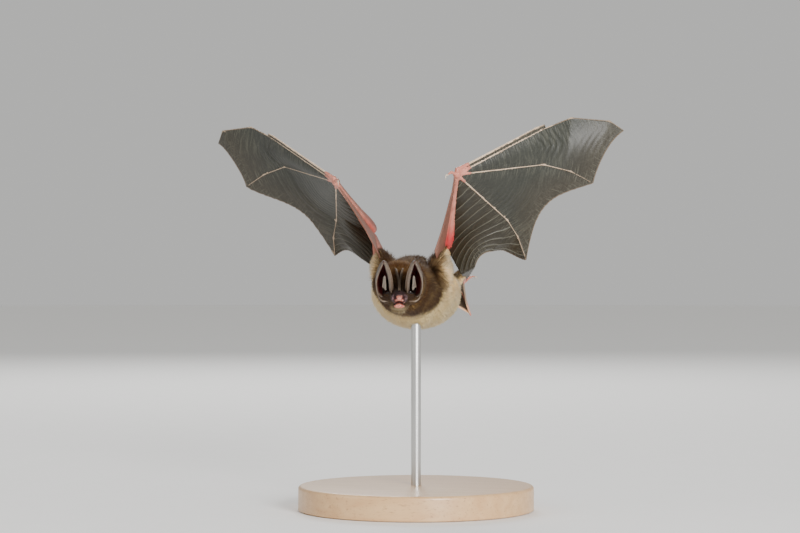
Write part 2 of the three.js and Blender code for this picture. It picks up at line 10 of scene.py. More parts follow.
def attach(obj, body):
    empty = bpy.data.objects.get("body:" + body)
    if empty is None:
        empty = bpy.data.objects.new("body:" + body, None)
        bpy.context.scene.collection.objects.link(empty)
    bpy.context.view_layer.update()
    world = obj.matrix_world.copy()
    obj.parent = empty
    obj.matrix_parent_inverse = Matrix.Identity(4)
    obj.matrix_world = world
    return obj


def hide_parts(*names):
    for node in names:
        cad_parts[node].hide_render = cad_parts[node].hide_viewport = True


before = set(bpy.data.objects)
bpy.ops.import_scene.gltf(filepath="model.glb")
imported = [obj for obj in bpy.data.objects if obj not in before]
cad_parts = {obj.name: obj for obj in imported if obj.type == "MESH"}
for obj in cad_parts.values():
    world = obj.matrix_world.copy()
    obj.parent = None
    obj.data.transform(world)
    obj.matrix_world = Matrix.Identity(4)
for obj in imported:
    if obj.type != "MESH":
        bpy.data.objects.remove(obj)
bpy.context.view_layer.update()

# %% [markdown]
# # A brown long-eared bat in flight
# The animal weighs about eight grams and is carried over a turned beech base by one steel rod. The
# lesson goes from bone to skin to fur, as a taxidermist works. All lengths are in millimetres, in
# the bat's own frame: it heads along -Y, its left is +X, and the origin is the middle of the trunk.
# One function moves them to metres over the table.

# %% Units and random numbers
MM = 0.001
BODY_HEIGHT = 70.0
SEED = 11


def placed(points):
    """Millimetres in the bat's frame to metres over the table."""
    return (np.asarray(points, float) + [0.0, 0.0, BODY_HEIGHT]) * MM


def unit(vectors):
    """The same directions with a length of one."""
    return vectors / np.maximum(np.linalg.norm(vectors, axis=-1, keepdims=True), 1e-9)


def ramp(x, low, high):
    """A smooth step from 0 at low to 1 at high."""
    t = np.clip((x - low) / (high - low), 0, 1)
    return t * t * (3 - 2 * t)


print("the trunk's middle is", BODY_HEIGHT, "mm over the table")

# %% [markdown]
# ## Camera
# A long lens from three quarters of a metre, level with the bat, a little to its left. A long lens
# keeps the near ears and the far wing tips in proportion.

# %% Camera
CAMERA_PLACE = (0.16368, -0.73194, 0.07855)
CAMERA_TURN = 13.0
CAMERA_LENS = 104.6

camera = bpy.data.objects.new("camera", bpy.data.cameras.new("camera"))
camera.data.lens = CAMERA_LENS
camera.data.sensor_width = 36.0
camera.data.clip_start = 0.01
camera.location = CAMERA_PLACE
camera.rotation_euler = (math.radians(90), 0, math.radians(CAMERA_TURN))
bpy.context.collection.objects.link(camera)
bpy.context.scene.camera = camera
print("camera at", CAMERA_PLACE)

# %% [markdown]
# ## The skeleton that the skin hangs on
# No bone is modelled, but each one's length and direction is, because a bat's wing is a hand. The
# joints follow from the lengths and from two angles a bone: azimuth, turned from the tail (0)
# outward (90) to the nose (180), and elevation above level.

# %% Bones
UPPER_ARM, FOREARM, THUMB = 21.0, 38.0, 6.0
METACARPALS = {2: 33.0, 3: 34.5, 4: 34.0, 5: 33.2}
PHALANGES = {2: [3.5], 3: [13.0, 12.5, 6.0], 4: [10.3, 9.8], 5: [8.6, 8.6]}
DIGIT_SPREAD = 1.45
SHOULDER, FLANK = (8.5, -7.0, 6.0), (12.4, 12.0, 6.0)

# Each wing has the azimuth and elevation of its bones in degrees. For each panel of skin it has how
# far the free edge hangs back, and to which side the hollow leans.
POSES = {
    "l": {
        "side": 1,
        "skin_front": (7.3, -8.6, 11.5),
        "upper_arm": (-3, 25.5),
        "forearm": (162, 36.2),
        "thumb": (197, 6),
        3: [(48, 25.3), (43.5, 19.5), (73.5, -4.5), (55, -30)],
        4: [(43.7, 6.6), (52.4, -11.3), (44.2, -21.6)],
        5: [(21, -24.4), (21.5, -39), (33, -62)],
        "outer": (0.05, 1),
        "inner": (0.19, 1.1),
        "flank": (0.3, 1.5),
    },
    "r": {
        "side": -1,
        "skin_front": (9.4, -8.6, 11.0),
        "upper_arm": (28, 42.4),
        "forearm": (174.2, 22.9),
        "thumb": (200, 10),
        3: [(56, 25.8), (50, 18.4), (65.4, -3.5), (35.3, -41)],
        4: [(44.4, 10.3), (58.8, -12.8), (56, -22.4)],
        5: [(14.2, -19.3), (24.2, -43), (10.4, -44)],
        "outer": (0.06, 1),
        "inner": (0.2, 1.5),
        "flank": (0.22, 1),
    },
}
LEG = {
    "hip": (4.5, 18, -1.5),
    "knee": (10.4, 29.4, 7.2),
    "ankle": (6.6, 44.2, 2.9),
    "toes": (8.6, 50.4, 6.6),
}
CALCAR_END = {"l": (8.2, 42, -4.5), "r": (5.6, 46.5, -6.2)}
TAIL = [(0, 23, -2.8), (1.2, 38, 3), (3.8, 53, 0.8), (5.6, 62.5, -8.7)]


def bone_direction(side, azimuth, elevation):
    """The way a bone points, on the left (side 1) or the right (side -1)."""
    turn, lift = math.radians(azimuth), math.radians(elevation)
    level = math.cos(lift)
    return np.array([side * math.sin(turn) * level, math.cos(turn) * level, math.sin(lift)])


def bone_chain(start, side, lengths, angles):
    """The joints of bones that follow each other."""
    joints = [np.array(start, float)]
    for length, angle in zip(lengths, angles):
        joints.append(joints[-1] + length * bone_direction(side, *angle))
    return np.array(joints)


def mirrored(side, place):
    """A place of the left side, or its mirror image on the right."""
    return np.array([side * place[0], place[1], place[2]], float)


def wing_joints(pose):
    """Shoulder, elbow, wrist and the joints of each finger of one wing."""
    side = pose["side"]
    shoulder = mirrored(side, SHOULDER)
    elbow = shoulder + UPPER_ARM * bone_direction(side, *pose["upper_arm"])
    wrist = elbow + FOREARM * bone_direction(side, *pose["forearm"])
    joints = {"shoulder": shoulder, "elbow": elbow, "wrist": wrist}
    for digit in (3, 4, 5):
        joints[digit] = bone_chain(wrist, side, [METACARPALS[digit], *PHALANGES[digit]], pose[digit])
    third, fourth = (bone_direction(side, *pose[digit][0]) for digit in (3, 4))
    leading = unit(third * (third @ fourth) - fourth) * DIGIT_SPREAD
    joints[2] = bone_chain(wrist + leading, side, [METACARPALS[2], *PHALANGES[2]], pose[3])
    return joints


wings = {key: wing_joints(pose) for key, pose in POSES.items()}
legs = {
    key: {name: mirrored(POSES[key]["side"], place) for name, place in LEG.items()}
    | {"spur": mirrored(POSES[key]["side"], CALCAR_END[key])}
    for key in POSES
}
print("wrists at", {key: wing["wrist"].round(1).tolist() for key, wing in wings.items()})

# %% [markdown]
# ## Two ways of laying a surface
# A limb is a sweep: rings of chosen width and height round a line. A membrane or an ear is a shell:
# a grid of points given a thickness, closed round its edge. Both make closed meshes, so that all
# the skin can be joined into one later.


# %% Sweeps and shells
def along(points, t):
    """The places at the fractions t of the length of a row of points."""
    points = np.asarray(points, float)
    steps = np.linalg.norm(np.diff(points, axis=0), axis=1)
    stops = np.concatenate([[0], np.cumsum(steps)]) / steps.sum()
    return np.stack([np.interp(t, stops, points[:, k]) for k in range(3)], axis=-1)


def curve_through(points, count):
    """A smooth line through a few points, as count points an even way apart."""
    points = np.asarray(points, float)
    padded = np.vstack([2 * points[0] - points[1], points, 2 * points[-1] - points[-2]])
    t = np.linspace(0, 1, 24, endpoint=False)[:, None]
    line = []
    for a, b, c, d in zip(padded, padded[1:], padded[2:], padded[3:]):
        bend, twist = 2 * a - 5 * b + 4 * c - d, 3 * b - a - 3 * c + d
        line.append(0.5 * (2 * b + (c - a) * t + bend * t**2 + twist * t**3))
    return along(np.vstack([*line, points[-1:]]), np.linspace(0, 1, count))


def sweep(path, widths, heights, sides, up=(0, 0, 1)):
    """A closed tube round path. Its first and last points are its two ends."""
    path = np.asarray(path, float)
    ahead = unit(np.gradient(path, axis=0))
    across = unit(np.cross(ahead, up))
    lift = np.cross(across, ahead)
    spin = np.linspace(0, 2 * math.pi, sides, endpoint=False)[None, :, None]
    inner = slice(1, -1)
    widths, heights = np.asarray(widths)[inner, None, None], np.asarray(heights)[inner, None, None]
    rings = path[inner, None] + widths * np.cos(spin) * across[inner, None]
    rings = rings + heights * np.sin(spin) * lift[inner, None]
    count = len(path) - 2
    points = np.vstack([path[:1], rings.reshape(-1, 3), path[-1:]])
    k, j = np.meshgrid(np.arange(count - 1), np.arange(sides), indexing="ij")
    nxt = (j + 1) % sides
    this, beyond = k * sides, (k + 1) * sides
    walls = np.stack([this + j, beyond + j, beyond + nxt, this + nxt], -1) + 1
    j = np.arange(sides)
    nxt = (j + 1) % sides
    last = 1 + (count - 1) * sides
    start = np.stack([np.zeros(sides, int), 1 + j, 1 + nxt], -1)
    end = np.stack([np.full(sides, last + sides), last + nxt, last + j], -1)
    return points, walls.reshape(-1, 4).tolist() + start.tolist() + end.tolist()


def rounded_steps(count):
    """Fractions from 0 to 1, closer together near both ends."""
    return (1 - np.cos(np.linspace(0, math.pi, count))) / 2


def limb(start, end, stops, sides, steps=24):
    """A straight tube whose radius follows (fraction, radius) stops, round at both ends."""
    t = rounded_steps(steps)
    radii = np.interp(t, [s[0] for s in stops], [s[1] for s in stops])
    radii = radii * np.sqrt(np.clip(1 - (2 * t - 1) ** 40, 0, 1))
    return sweep(along([start, end], t), radii, radii, sides)


def blob(centre, radii, sides=20):
    """A smooth egg shape."""
    t = np.linspace(0, math.pi, 14)
    centre, radii = np.asarray(centre, float), np.asarray(radii, float)
    path = centre + np.stack([0 * t, -radii[1] * np.cos(t), 0 * t], -1)
    return sweep(path, radii[0] * np.sin(t), radii[2] * np.sin(t), sides)


def shell(grid, thickness):
    """A closed sheet round a grid of points, half of its thickness to either side."""
    nu, nv = grid.shape[:2]
    normal = unit(np.cross(np.gradient(grid, axis=0), np.gradient(grid, axis=1)))
    half = np.broadcast_to(thickness, (nu, nv))[..., None] / 2
    points = np.vstack([(grid + normal * half).reshape(-1, 3), (grid - normal * half).reshape(-1, 3)])
    place = np.arange(nu * nv).reshape(nu, nv)
    top = np.stack([place[:-1, :-1], place[1:, :-1], place[1:, 1:], place[:-1, 1:]], -1).reshape(-1, 4)
    rim = np.concatenate([place[:-1, 0], place[-1, :-1], place[:0:-1, -1], place[0, :0:-1]])
    ahead = np.roll(rim, -1)
    back = nu * nv
    edge = np.stack([ahead, rim, rim + back, ahead + back], -1)
    return points, np.vstack([top, top[:, ::-1] + back, edge]).tolist()


def folded(points, height):
    """A grid pushed along its own normal by height."""
    normal = unit(np.cross(np.gradient(points, axis=0), np.gradient(points, axis=1)))
    return points + normal * height[..., None]


def new_object(name, points, faces, smooth=True):
    """An object from points in the bat's frame, still in millimetres."""
    mesh = bpy.data.meshes.new(name)
    mesh.from_pydata(np.asarray(points).tolist(), [], faces)
    mesh.validate()
    mesh.shade_smooth() if smooth else mesh.shade_flat()
    made = bpy.data.objects.new(name, mesh)
    bpy.context.collection.objects.link(made)
    return made


def read_points(mesh, what="co"):
    """The places of a mesh's points, or their normals."""
    flat = np.empty(3 * len(mesh.vertices))
    mesh.vertices.foreach_get(what, flat)
    return flat.reshape(-1, 3)


def together(parts):
    """Several (points, faces) pairs as one."""
    points, faces, gone = [], [], 0
    for part_points, part_faces in parts:
        points.append(part_points)
        faces.extend([[i + gone for i in face] for face in part_faces])
        gone += len(part_points)
    return np.vstack(points), faces


# %% [markdown]
# ## Flesh by remeshing
# Trunk, neck and limbs are separate sweeps that run into each other. A voxel remesh turns the pile
# into one closed form, and a few rounds of smoothing melt the joins, as flesh does.


# %% Remeshing
def smoothed(points, edges, rounds):
    """Each point moved halfway to the middle of its neighbours, several times."""
    ends, neighbours = np.concatenate([edges, edges[:, ::-1]]).T
    count = np.bincount(ends, minlength=len(points))[:, None]
    for _ in range(rounds):
        sums = [np.bincount(ends, points[neighbours, k], len(points)) for k in range(3)]
        points = points + 0.5 * (np.stack(sums, -1) / np.maximum(count, 1) - points)
    return points


def remeshed(name, parts, voxel, rounds):
    """One closed object from overlapping parts, with its joins melted."""
    made = new_object(name, *together(parts))
    modifier = made.modifiers.new("melt", "REMESH")
    modifier.mode = "VOXEL"
    modifier.voxel_size = voxel
    mesh = bpy.data.meshes.new_from_object(made.evaluated_get(bpy.context.evaluated_depsgraph_get()))
    made.modifiers.clear()
    made.data = mesh
    edges = np.empty(2 * len(mesh.edges), int)
    mesh.edges.foreach_get("vertices", edges)
    points = smoothed(read_points(mesh), edges.reshape(-1, 2), rounds)
    mesh.vertices.foreach_set("co", points.ravel())
    mesh.shade_smooth()
    print(name, len(mesh.vertices), "points")
    return made


# %% [markdown]
# ## The trunk under its coat
# The coat lies flat and is a bit over a millimetre deep, so the skin is the outline of the animal
# less that depth. Trunk, neck, upper arms and thighs are laid as sweeps and melted into one. A box
# with subdivision could give the same form, but its rings would be harder to set to a real width.

# %% Trunk, neck, upper arms and thighs
TRUNK_FRONT, TRUNK_REAR = np.array([-1.7, -13.4, 2.9]), np.array([-0.6, 26.0, -3.6])
TRUNK_HALF_WIDTH, TRUNK_HALF_HEIGHT = 14.8, 12.0
NECK_RADIUS = 10.0
BODY_COAT, ARM_COAT, THIGH_COAT = 1.35, 1.0, 0.9
BODY_VOXEL, BODY_ROUNDS = 0.45, 14
SLIMNESS = {"l": 0.95, "r": 0.7}


def trunk_part():
    t = rounded_steps(44)
    full = np.sin(math.pi * t**0.92) ** 0.56
    inset = BODY_COAT * unit(TRUNK_REAR - TRUNK_FRONT)
    widths = np.maximum(TRUNK_HALF_WIDTH * full - BODY_COAT, 0.2)
    heights = np.maximum(TRUNK_HALF_HEIGHT * full - BODY_COAT, 0.2)
    return sweep(along([TRUNK_FRONT + inset, TRUNK_REAR - inset], t), widths, heights, 48)


def neck_part():
    t = np.linspace(0, 1, 30)
    swell = np.interp(t, [0, 0.08, 0.3, 0.55, 0.8, 1], [0.7, 0.8, 0.9, 0.99, 1.08, 0.9])
    radius = NECK_RADIUS * swell - BODY_COAT
    return sweep(along([(-0.4, -18.8, 2.8), (-1, -1, 1)], t), radius, 0.92 * radius, 40)


def upper_arm_part(wing, slimness):
    t = rounded_steps(24)
    stops = [0, 0.04, 0.25, 0.5, 0.75, 0.94, 1]
    widths = np.interp(t, stops, [3.6, 4.2, 4.6, 4.0, 3.0, 2.5, 2.2])
    heights = np.interp(t, stops, [3.6, 4.4, 5.2, 4.8, 3.6, 2.7, 2.3])
    path = along([wing["shoulder"], wing["elbow"]], t) - [0, 0, 0.8]
    bare = np.interp(t, [0, 0.4, 1], [1, slimness, slimness])
    return sweep(path, bare * (widths - ARM_COAT), bare * (heights - ARM_COAT), 28)


def thigh_part(leg):
    stops = [(0, 2.8), (0.05, 3.2), (0.4, 2.9), (0.75, 2.1), (1, 1.5)]
    return limb(leg["hip"], leg["knee"], [(t, r - THIGH_COAT * (1 - 0.6 * t)) for t, r in stops], 24)


body_parts = [trunk_part(), neck_part()]
body_parts += [upper_arm_part(wings[key], SLIMNESS[key]) for key in wings]
body_parts += [thigh_part(leg) for leg in legs.values()]
body = remeshed("body", body_parts, BODY_VOXEL, BODY_ROUNDS)

# %% [markdown]
# ## The head
# A long-eared bat has a round skull and a short bare muzzle with a swelling on each side of the
# nose. Skull and jaw are sweeps, and nose pad, lips and swellings are egg shapes that the remesh
# melts on to them. The head has its own frame: -Y is straight ahead, and the origin is the middle
# of the skull.

# %% Skull, jaw, nose and lids
HEAD_PLACE, HEAD_TURN = np.array([-0.3, -22.7, 2.5]), math.radians(13)
NOSE, JAW_TIP = (0, -12.2, -3.5), (0, -11.2, -6.25)
EYE, EYE_RADIUS = np.array([3.35, -7.3, -1.9]), 1.05
LID_RADIUS, LID_THICKNESS = 1.08, 0.34
HEAD_VOXEL, HEAD_ROUNDS = 0.15, 3
HEAD_STOPS = [0, 0.02, 0.1, 0.24, 0.4, 0.54, 0.66, 0.77, 0.87, 0.95, 1]
HEAD_WIDTHS = [3.4, 3.8, 6.9, 8.2, 8.1, 7.0, 5.2, 3.7, 2.6, 1.7, 1.2]
HEAD_HEIGHTS = [3.0, 3.4, 5.9, 6.9, 6.7, 5.6, 4.1, 2.8, 1.8, 1.25, 0.9]


def from_head(points):
    """Points in the head's own frame to the bat's frame."""
    turn, points = HEAD_TURN, np.asarray(points, float)
    x = math.cos(turn) * points[..., 0] - math.sin(turn) * points[..., 1]
    y = math.sin(turn) * points[..., 0] + math.cos(turn) * points[..., 1]
    return np.stack([x, y, points[..., 2]], -1) + HEAD_PLACE


def to_head(points):
    """Points in the bat's frame to the head's own frame."""
    p = np.asarray(points, float) - HEAD_PLACE
    x = math.cos(HEAD_TURN) * p[..., 0] + math.sin(HEAD_TURN) * p[..., 1]
    y = -math.sin(HEAD_TURN) * p[..., 0] + math.cos(HEAD_TURN) * p[..., 1]
    return np.stack([x, y, p[..., 2]], -1)


def skull_part():
    path = curve_through([(0, 8.2, 0.8), (0, 2, 0.4), (0, -5, -1.4), NOSE], 60)
    t = np.linspace(0, 1, 60)
    coat = np.interp(t, [0, 0.5, 0.7, 0.85, 1], [1.2, 0.8, 0.45, 0.2, 0])
    widths = np.interp(t, HEAD_STOPS, HEAD_WIDTHS) - coat
    heights = np.interp(t, HEAD_STOPS, HEAD_HEIGHTS) - coat
    return sweep(path, widths, heights, 56)


def jaw_part():
    t = np.linspace(0, 1, 30)
    stops = [0, 0.06, 0.35, 0.65, 0.88, 0.97, 1]
    widths = np.interp(t, stops, [1.4, 1.9, 2.1, 2.0, 1.65, 1.15, 0.7])
    heights = np.interp(t, stops, [0.6, 0.8, 0.95, 0.9, 0.72, 0.5, 0.3])
    return sweep(along([(0, -2.5, -6.4), JAW_TIP], t), widths, heights, 32)


def ring_part(centre, axis, radius, tube):
    """A closed ring round an axis."""
    axis = unit(np.asarray(axis, float))
    across = unit(np.cross(axis, [0, 0, 1]))
    lift = np.cross(across, axis)
    a = np.linspace(0, 2 * math.pi, 36, endpoint=False)[:, None, None]
    b = np.linspace(0, 2 * math.pi, 14, endpoint=False)[None, :, None]
    out = np.cos(a) * across + 0.8 * np.sin(a) * lift
    points = centre + out * (radius + tube * np.cos(b)) + axis * tube * np.sin(b)
    place = np.arange(36 * 14).reshape(36, 14)
    nxt = np.roll(place, -1, 0)
    faces = np.stack([place, nxt, np.roll(nxt, -1, 1), np.roll(place, -1, 1)], -1)
    return points.reshape(-1, 3), faces.reshape(-1, 4).tolist()


def face_parts():
    """Nose pad, lips, mouth lining, the swelling on each side of the muzzle, and the lids."""
    parts = [blob((0, -11.9, -3.8), (1.35, 0.85, 0.8)), blob((0, -11.0, -6.15), (1.7, 0.75, 0.68))]
    parts += [blob((0, -11.2, -4.5), (0.7, 0.85, 0.6)), blob((0, -10.3, -5.2), (1.6, 0.85, 0.7))]
    parts.append(blob((0, -8.0, -4.8), (2.1, 2.7, 1.3)))
    for side in (-1, 1):
        parts.append(blob((side * 1.1, -11.1, -4.6), (0.95, 0.9, 0.8)))
        parts.append(blob((side * 2.1, -10.1, -3.6), (0.6, 1.35, 1.25)))
        parts.append(blob((side * 1.1, -9.0, -1.9), (0.8, 1.6, 0.7)))
        outward = np.array([side * 0.75, -0.62, 0.2])
        lid_middle = EYE * [side, 1, 1] + 0.3 * outward
        parts.append(ring_part(lid_middle, outward, LID_RADIUS, LID_THICKNESS))
    return parts


head_parts = [skull_part(), jaw_part(), *face_parts()]
head = remeshed("head", [(from_head(p), faces) for p, faces in head_parts], HEAD_VOXEL, HEAD_ROUNDS)

# %% [markdown]
# ## The ears
# They are nearly as long as the body. Each is a trough, thick and round along its inner margin, thin
# along the outer one, with fine cross folds so that it can curl back. A pale spear, the tragus,
# stands in front of its opening. A remesh would fray such thin edges, so the ears are shells and
# sweeps that join the head only in the last union.

# %% Ears
EAR_LENGTH, EAR_DEPTH = 34.2, 6.6
EAR_LIFT, EAR_SPLAY = 18, 1.1
EAR_ROOT = (4, -4.6, -3.1)
EAR_THICKNESS = 0.45
PLEAT, PLEAT_HEIGHT = 1.3, 0.06
BROW_FOLD = [(0.2, -10.9, -1.4), (0.25, -9.5, 0.9), (0.5, -8.0, 2.8)]
BROW_FOLD += [(0.85, -6.4, 4.3), (1.35, -4.8, 5.5)]
LOBE_FOLD = [(6.5, -5.2, -2.6), (6.1, -6.5, -3.9), (5.0, -7.5, -4.7), (2.9, -7.0, -4.7)]


def ear_place(side, u, v):
    """Where a point of the ear lies: u from the inner margin to the outer, v from root to tip."""
    heading = bone_direction(side, 180 - EAR_SPLAY, EAR_LIFT)
    at_root = 0.5 + 0.5 * ramp(v, -0.04, 0.12)
    taper = at_root * np.maximum(1 - v**2.6, 0.04)
    turn = (u - 0.5) * math.pi * 1.06
    half_width = np.where(u < 0.5, 1.55 + 0.75 * v, 2.3 + 0.8 * np.sin(math.pi * v)) * taper
    rise = at_root * np.cos(turn) * EAR_DEPTH * np.maximum(1 - v**2, 0.03)
    rim = mirrored(side, EAR_ROOT) + heading * (v * EAR_LENGTH)[..., None]
    return rim + np.stack([side * np.sin(turn) * half_width, 0.34 * rise, 0.94 * rise], -1)


def ear_trough(side):
    """The sheet of the ear with its cross folds, and the marks of its points."""
    u, v = np.meshgrid(np.linspace(0, 1, 50), np.linspace(0, 0.99, 180), indexing="ij")
    pleated = ramp(u, 0.45, 0.65) * (1 - ramp(u, 0.93, 0.98)) * ramp(v, 0.08, 0.2)
    wander = 0.5 * np.sin(5 * u + 9 * v)
    wave = PLEAT_HEIGHT * pleated * np.sin(2 * math.pi * (v * EAR_LENGTH + wander) / PLEAT)
    sheet = shell(folded(ear_place(side, u, v), wave), EAR_THICKNESS)
    inside = np.repeat((1.0, 0.0) if side > 0 else (0.0, 1.0), u.size)
    rim = np.maximum(1 - ramp(u, 0.03, 0.1), ramp(u, 0.95, 0.99))
    hair = (1 - inside) * np.tile((1 - ramp(v, 0.06, 0.26)).ravel(), 2)
    return sheet, {"inside": inside, "pale": 0.5 * np.tile(rim.ravel(), 2), "hair": hair}


def ear_margins(side):
    """Three folds along the inner margin, the thin outer one, the fold on the brow, and the lobe."""
    v = np.linspace(0.02, 0.985, 90)
    t = np.linspace(0, 1, 40)
    inner = ear_place(side, 0 * v + 0.04, v)
    spread = np.interp(v, [0, 0.15, 0.75, 1], [0.3, 0.42, 0.42, 0.08])
    thick = np.interp(v, [0, 0.1, 0.25, 0.8, 1], [0.08, 0.24, 0.34, 0.33, 0.16])
    parts = []
    for place, share in ((-1, 0.85), (0, 1.0), (1, 0.75)):
        shift = np.stack([place * spread, 0 * v, 0.12 * abs(place) + 0 * v], -1)
        parts.append(sweep(inner + shift, share * thick, share * thick, 12))
    outer_thick = np.interp(v, [0, 0.5, 1], [0.24, 0.2, 0.14])
    parts.append(sweep(ear_place(side, 0 * v + 0.975, v), outer_thick, outer_thick, 10))
    brow_thick = np.interp(t, [0, 0.2, 0.7, 1], [0.16, 0.24, 0.2, 0.06])
    brow_rise = np.interp(t, [0, 0.2, 0.7, 1], [0.5, 1.3, 1.1, 0.3])
    parts.append(sweep(curve_through(BROW_FOLD, 40) * [side, 1, 1], brow_thick, brow_rise, 16))
    lobe_thick = np.interp(t, [0, 0.3, 0.8, 1], [0.2, 0.22, 0.16, 0.08])
    parts.append(sweep(curve_through(LOBE_FOLD, 40) * [side, 1, 1], lobe_thick, 1.4 * lobe_thick, 12))
    return parts


def tragus_part(side):
    """The pale spear in front of the ear's opening."""
    u, v = np.meshgrid(np.linspace(0, 1, 14), np.linspace(0, 1, 60), indexing="ij")
    half_width = 0.72 * np.maximum(1 - v, 0) ** 0.9 + 0.08
    spread = (u - 0.5) * 2 * half_width
    arch = 0.6 * np.sin(math.pi * v) + 0.25 * (1 - (2 * u - 1) ** 2)
    place = np.stack([side * (4.7 - 0.3 * v), -8.2 - 14.2 * v, -0.7 + 3.8 * v + arch], -1)
    sheet = place + np.stack([side * 0.75 * spread, 0 * v, 0.66 * spread], -1)
    return shell(sheet, 0.4 * np.sqrt(1 - v) + 0.08)


ears = []
for side in (-1, 1):
    trough, trough_marks = ear_trough(side)
    ears.append((trough, trough_marks))
    ears += [(part, {"pale": 0.5}) for part in ear_margins(side)]
    ears.append((tragus_part(side), {"pale": 1.0}))
print("ears:", len(ears), "closed forms,", sum(len(part[0]) for part, _ in ears), "points")

# %% [markdown]
# ## Marks on the head
# Nose pad, lips and chin are pink and bare, and the swellings are mauve. The bridge and the
# hollows at the ears' roots, round the eyes, are bare and get a wine-dark painted shade, and the
# mouth's parting and the nostrils a nearly black painted shade. Each is a soft egg-shaped spot
# written on the points of the head as a number from 0 to 1, which the coat and the materials read
# later. The mouth and the nostrils are also pressed into the mesh.


# %% Marks on the head
MOUTH_DEPTH, NOSTRIL_DEPTH = 0.7, 0.6


def nearest(tree_points, points):
    """For each point the index of the closest tree point, and how far it is."""
    tree = KDTree(len(tree_points))
    for i, point in enumerate(np.asarray(tree_points).tolist()):
        tree.insert(point, i)
    tree.balance()
    found = [tree.find(point)[1:] for point in np.asarray(points).tolist()]
    return np.array([f[0] for f in found]), np.array([f[1] for f in found])


def soft_spot(points, centre, radii):
    """1 at the centre of an egg-shaped spot, falling smoothly to 0."""
    return np.exp(-(((points - centre) / radii) ** 2).sum(-1))


def patchy(points, size):
    """Smooth patches of about size mm, from 0 to 1."""
    a, b, c = (points @ axis / size for axis in ([1.9, 0.7, -1.1], [-0.8, 2.1, 0.9], [1.2, -0.6, 2.0]))
    return 0.5 + 0.25 * (np.sin(a + np.sin(b)) + np.sin(b * 1.3 + np.sin(c)))


def mouth_line(p, half_height):
    """The parting of the lips, an arch that is lowest at its corners."""
    arch = -4.95 - 0.28 * p[:, 0] ** 2
    across = 1 - ramp(abs(p[:, 0]), 1.4, 1.9)
    return np.exp(-(((p[:, 2] - arch) / half_height) ** 4)) * across * ramp(-p[:, 1], 8.6, 9.6)


def nostrils(p, half_width):
    """Two slits that slant in towards the lip, one on each side of the nose pad."""
    from_slit = abs(p[:, 0]) - 1.22 - 0.35 * (p[:, 2] + 3.6)
    slit = np.exp(-((from_slit / half_width) ** 4)) * np.exp(-(((p[:, 2] + 3.6) / 0.6) ** 4))
    return slit * ramp(-p[:, 1], 9.2, 10)


def bare_face(p):
    """Where the face has neither coat nor pink: the bridge and the swellings beside the nose."""
    return ramp(soft_spot(p, (0, -11.4, -3.7), (2.7, 2.6, 2.4)), 0.25, 0.5)


def pink_face(p):
    """The nose pad, the lips and the chin."""
    pad = soft_spot(p, (0, -12.2, -3.95), (1.45, 1.7, 1.0))
    lips = soft_spot(p, (0, -11.8, -5.9), (2.1, 1.9, 1.15))
    return ramp(np.maximum(pad, lips) + 0.16 * patchy(p, 0.35), 0.3, 0.62)


head_points = to_head(read_points(head.data))
x, y, z = head_points.T
rise = z - EAR_ROOT[2] - 0.32 * (EAR_ROOT[1] - y)
trough_width = np.interp(-y, [4.8, 8.7], [1.2, 2.6])
in_trough = (abs(abs(x) - EAR_ROOT[0]) < trough_width) & (rise > -0.3) & (rise < EAR_DEPTH) & (y < -4.8)
bare, pink = bare_face(head_points), pink_face(head_points)
# Painted shade: the mouth's parting and the nostrils are also darkened in the skin's colour.
cuts = np.maximum(mouth_line(head_points, 0.5), nostrils(head_points, 0.5))
swelling = sum(soft_spot(head_points, (side * 2.1, -11, -3.7), (0.7, 1.6, 1.35)) for side in (-1, 1))
creases = 0.12 * swelling * np.sin(2 * math.pi * (z + 0.6 * abs(x)) / 0.7)
philtrum = soft_spot(head_points, (0, -12.8, -4.1), (0.2, 0.6, 0.5))
mouth_dent, nostril_dent = mouth_line(head_points, 0.3), nostrils(head_points, 0.3)
head_points[:, 1] += MOUTH_DEPTH * mouth_dent + NOSTRIL_DEPTH * nostril_dent
head_points[:, 1] += 0.16 * philtrum + creases
head.data.vertices.foreach_set("co", from_head(head_points).ravel())
# The hollows at the ears' roots and the bare bridge grow no coat, and the skin there is also darkened
# as painted shade.
head_marks = {
    "bald_and_shaded": np.clip(in_trough + bare, 0, 1),
    "pink": pink,
    "slit_shade": np.clip(cuts, 0, 1),
    "mauve": np.clip(1.3 * swelling - 0.3, 0, 1) * bare,
}
bare_percent = round(100 * float(head_marks["bald_and_shaded"].mean()))
print("head:", len(head_points), "points, bare", bare_percent, "percent")

# %% [markdown]
# ## The wings
# A wing is a hand with very long fingers and two thin layers of skin stretched between them. The
# skin bellies under the air, gathers in fine folds where the fingers are not fully spread, and
# hangs back in a curve between the finger tips. Each panel is one shell between two rows of joints.

# %% Membranes
MEMBRANE = 0.36
HAND_START = 0.05
HAND_BELLY, FLANK_BELLY = 1.6, 1.8
LADDER_RUNGS = {1: 12, -1: 15}
TAIL_SKIN_LENGTH, TAIL_SKIN_DROOP = 45, 1.2
OUTER_CREASE, OUTER_RIPPLE, INNER_RIPPLE, TAIL_RIPPLE = 2.3, 1.9, 2.1, 2.4  # how far apart they lie


def palm_side(wing, side):
    """The way that the palm of the hand faces."""
    third, fifth = wing[3][1] - wing["wrist"], wing[5][1] - wing["wrist"]
    return unit(side * np.cross(fifth, third))


def chain_length(joints):
    return np.linalg.norm(np.diff(np.asarray(joints), axis=0), axis=1).sum()


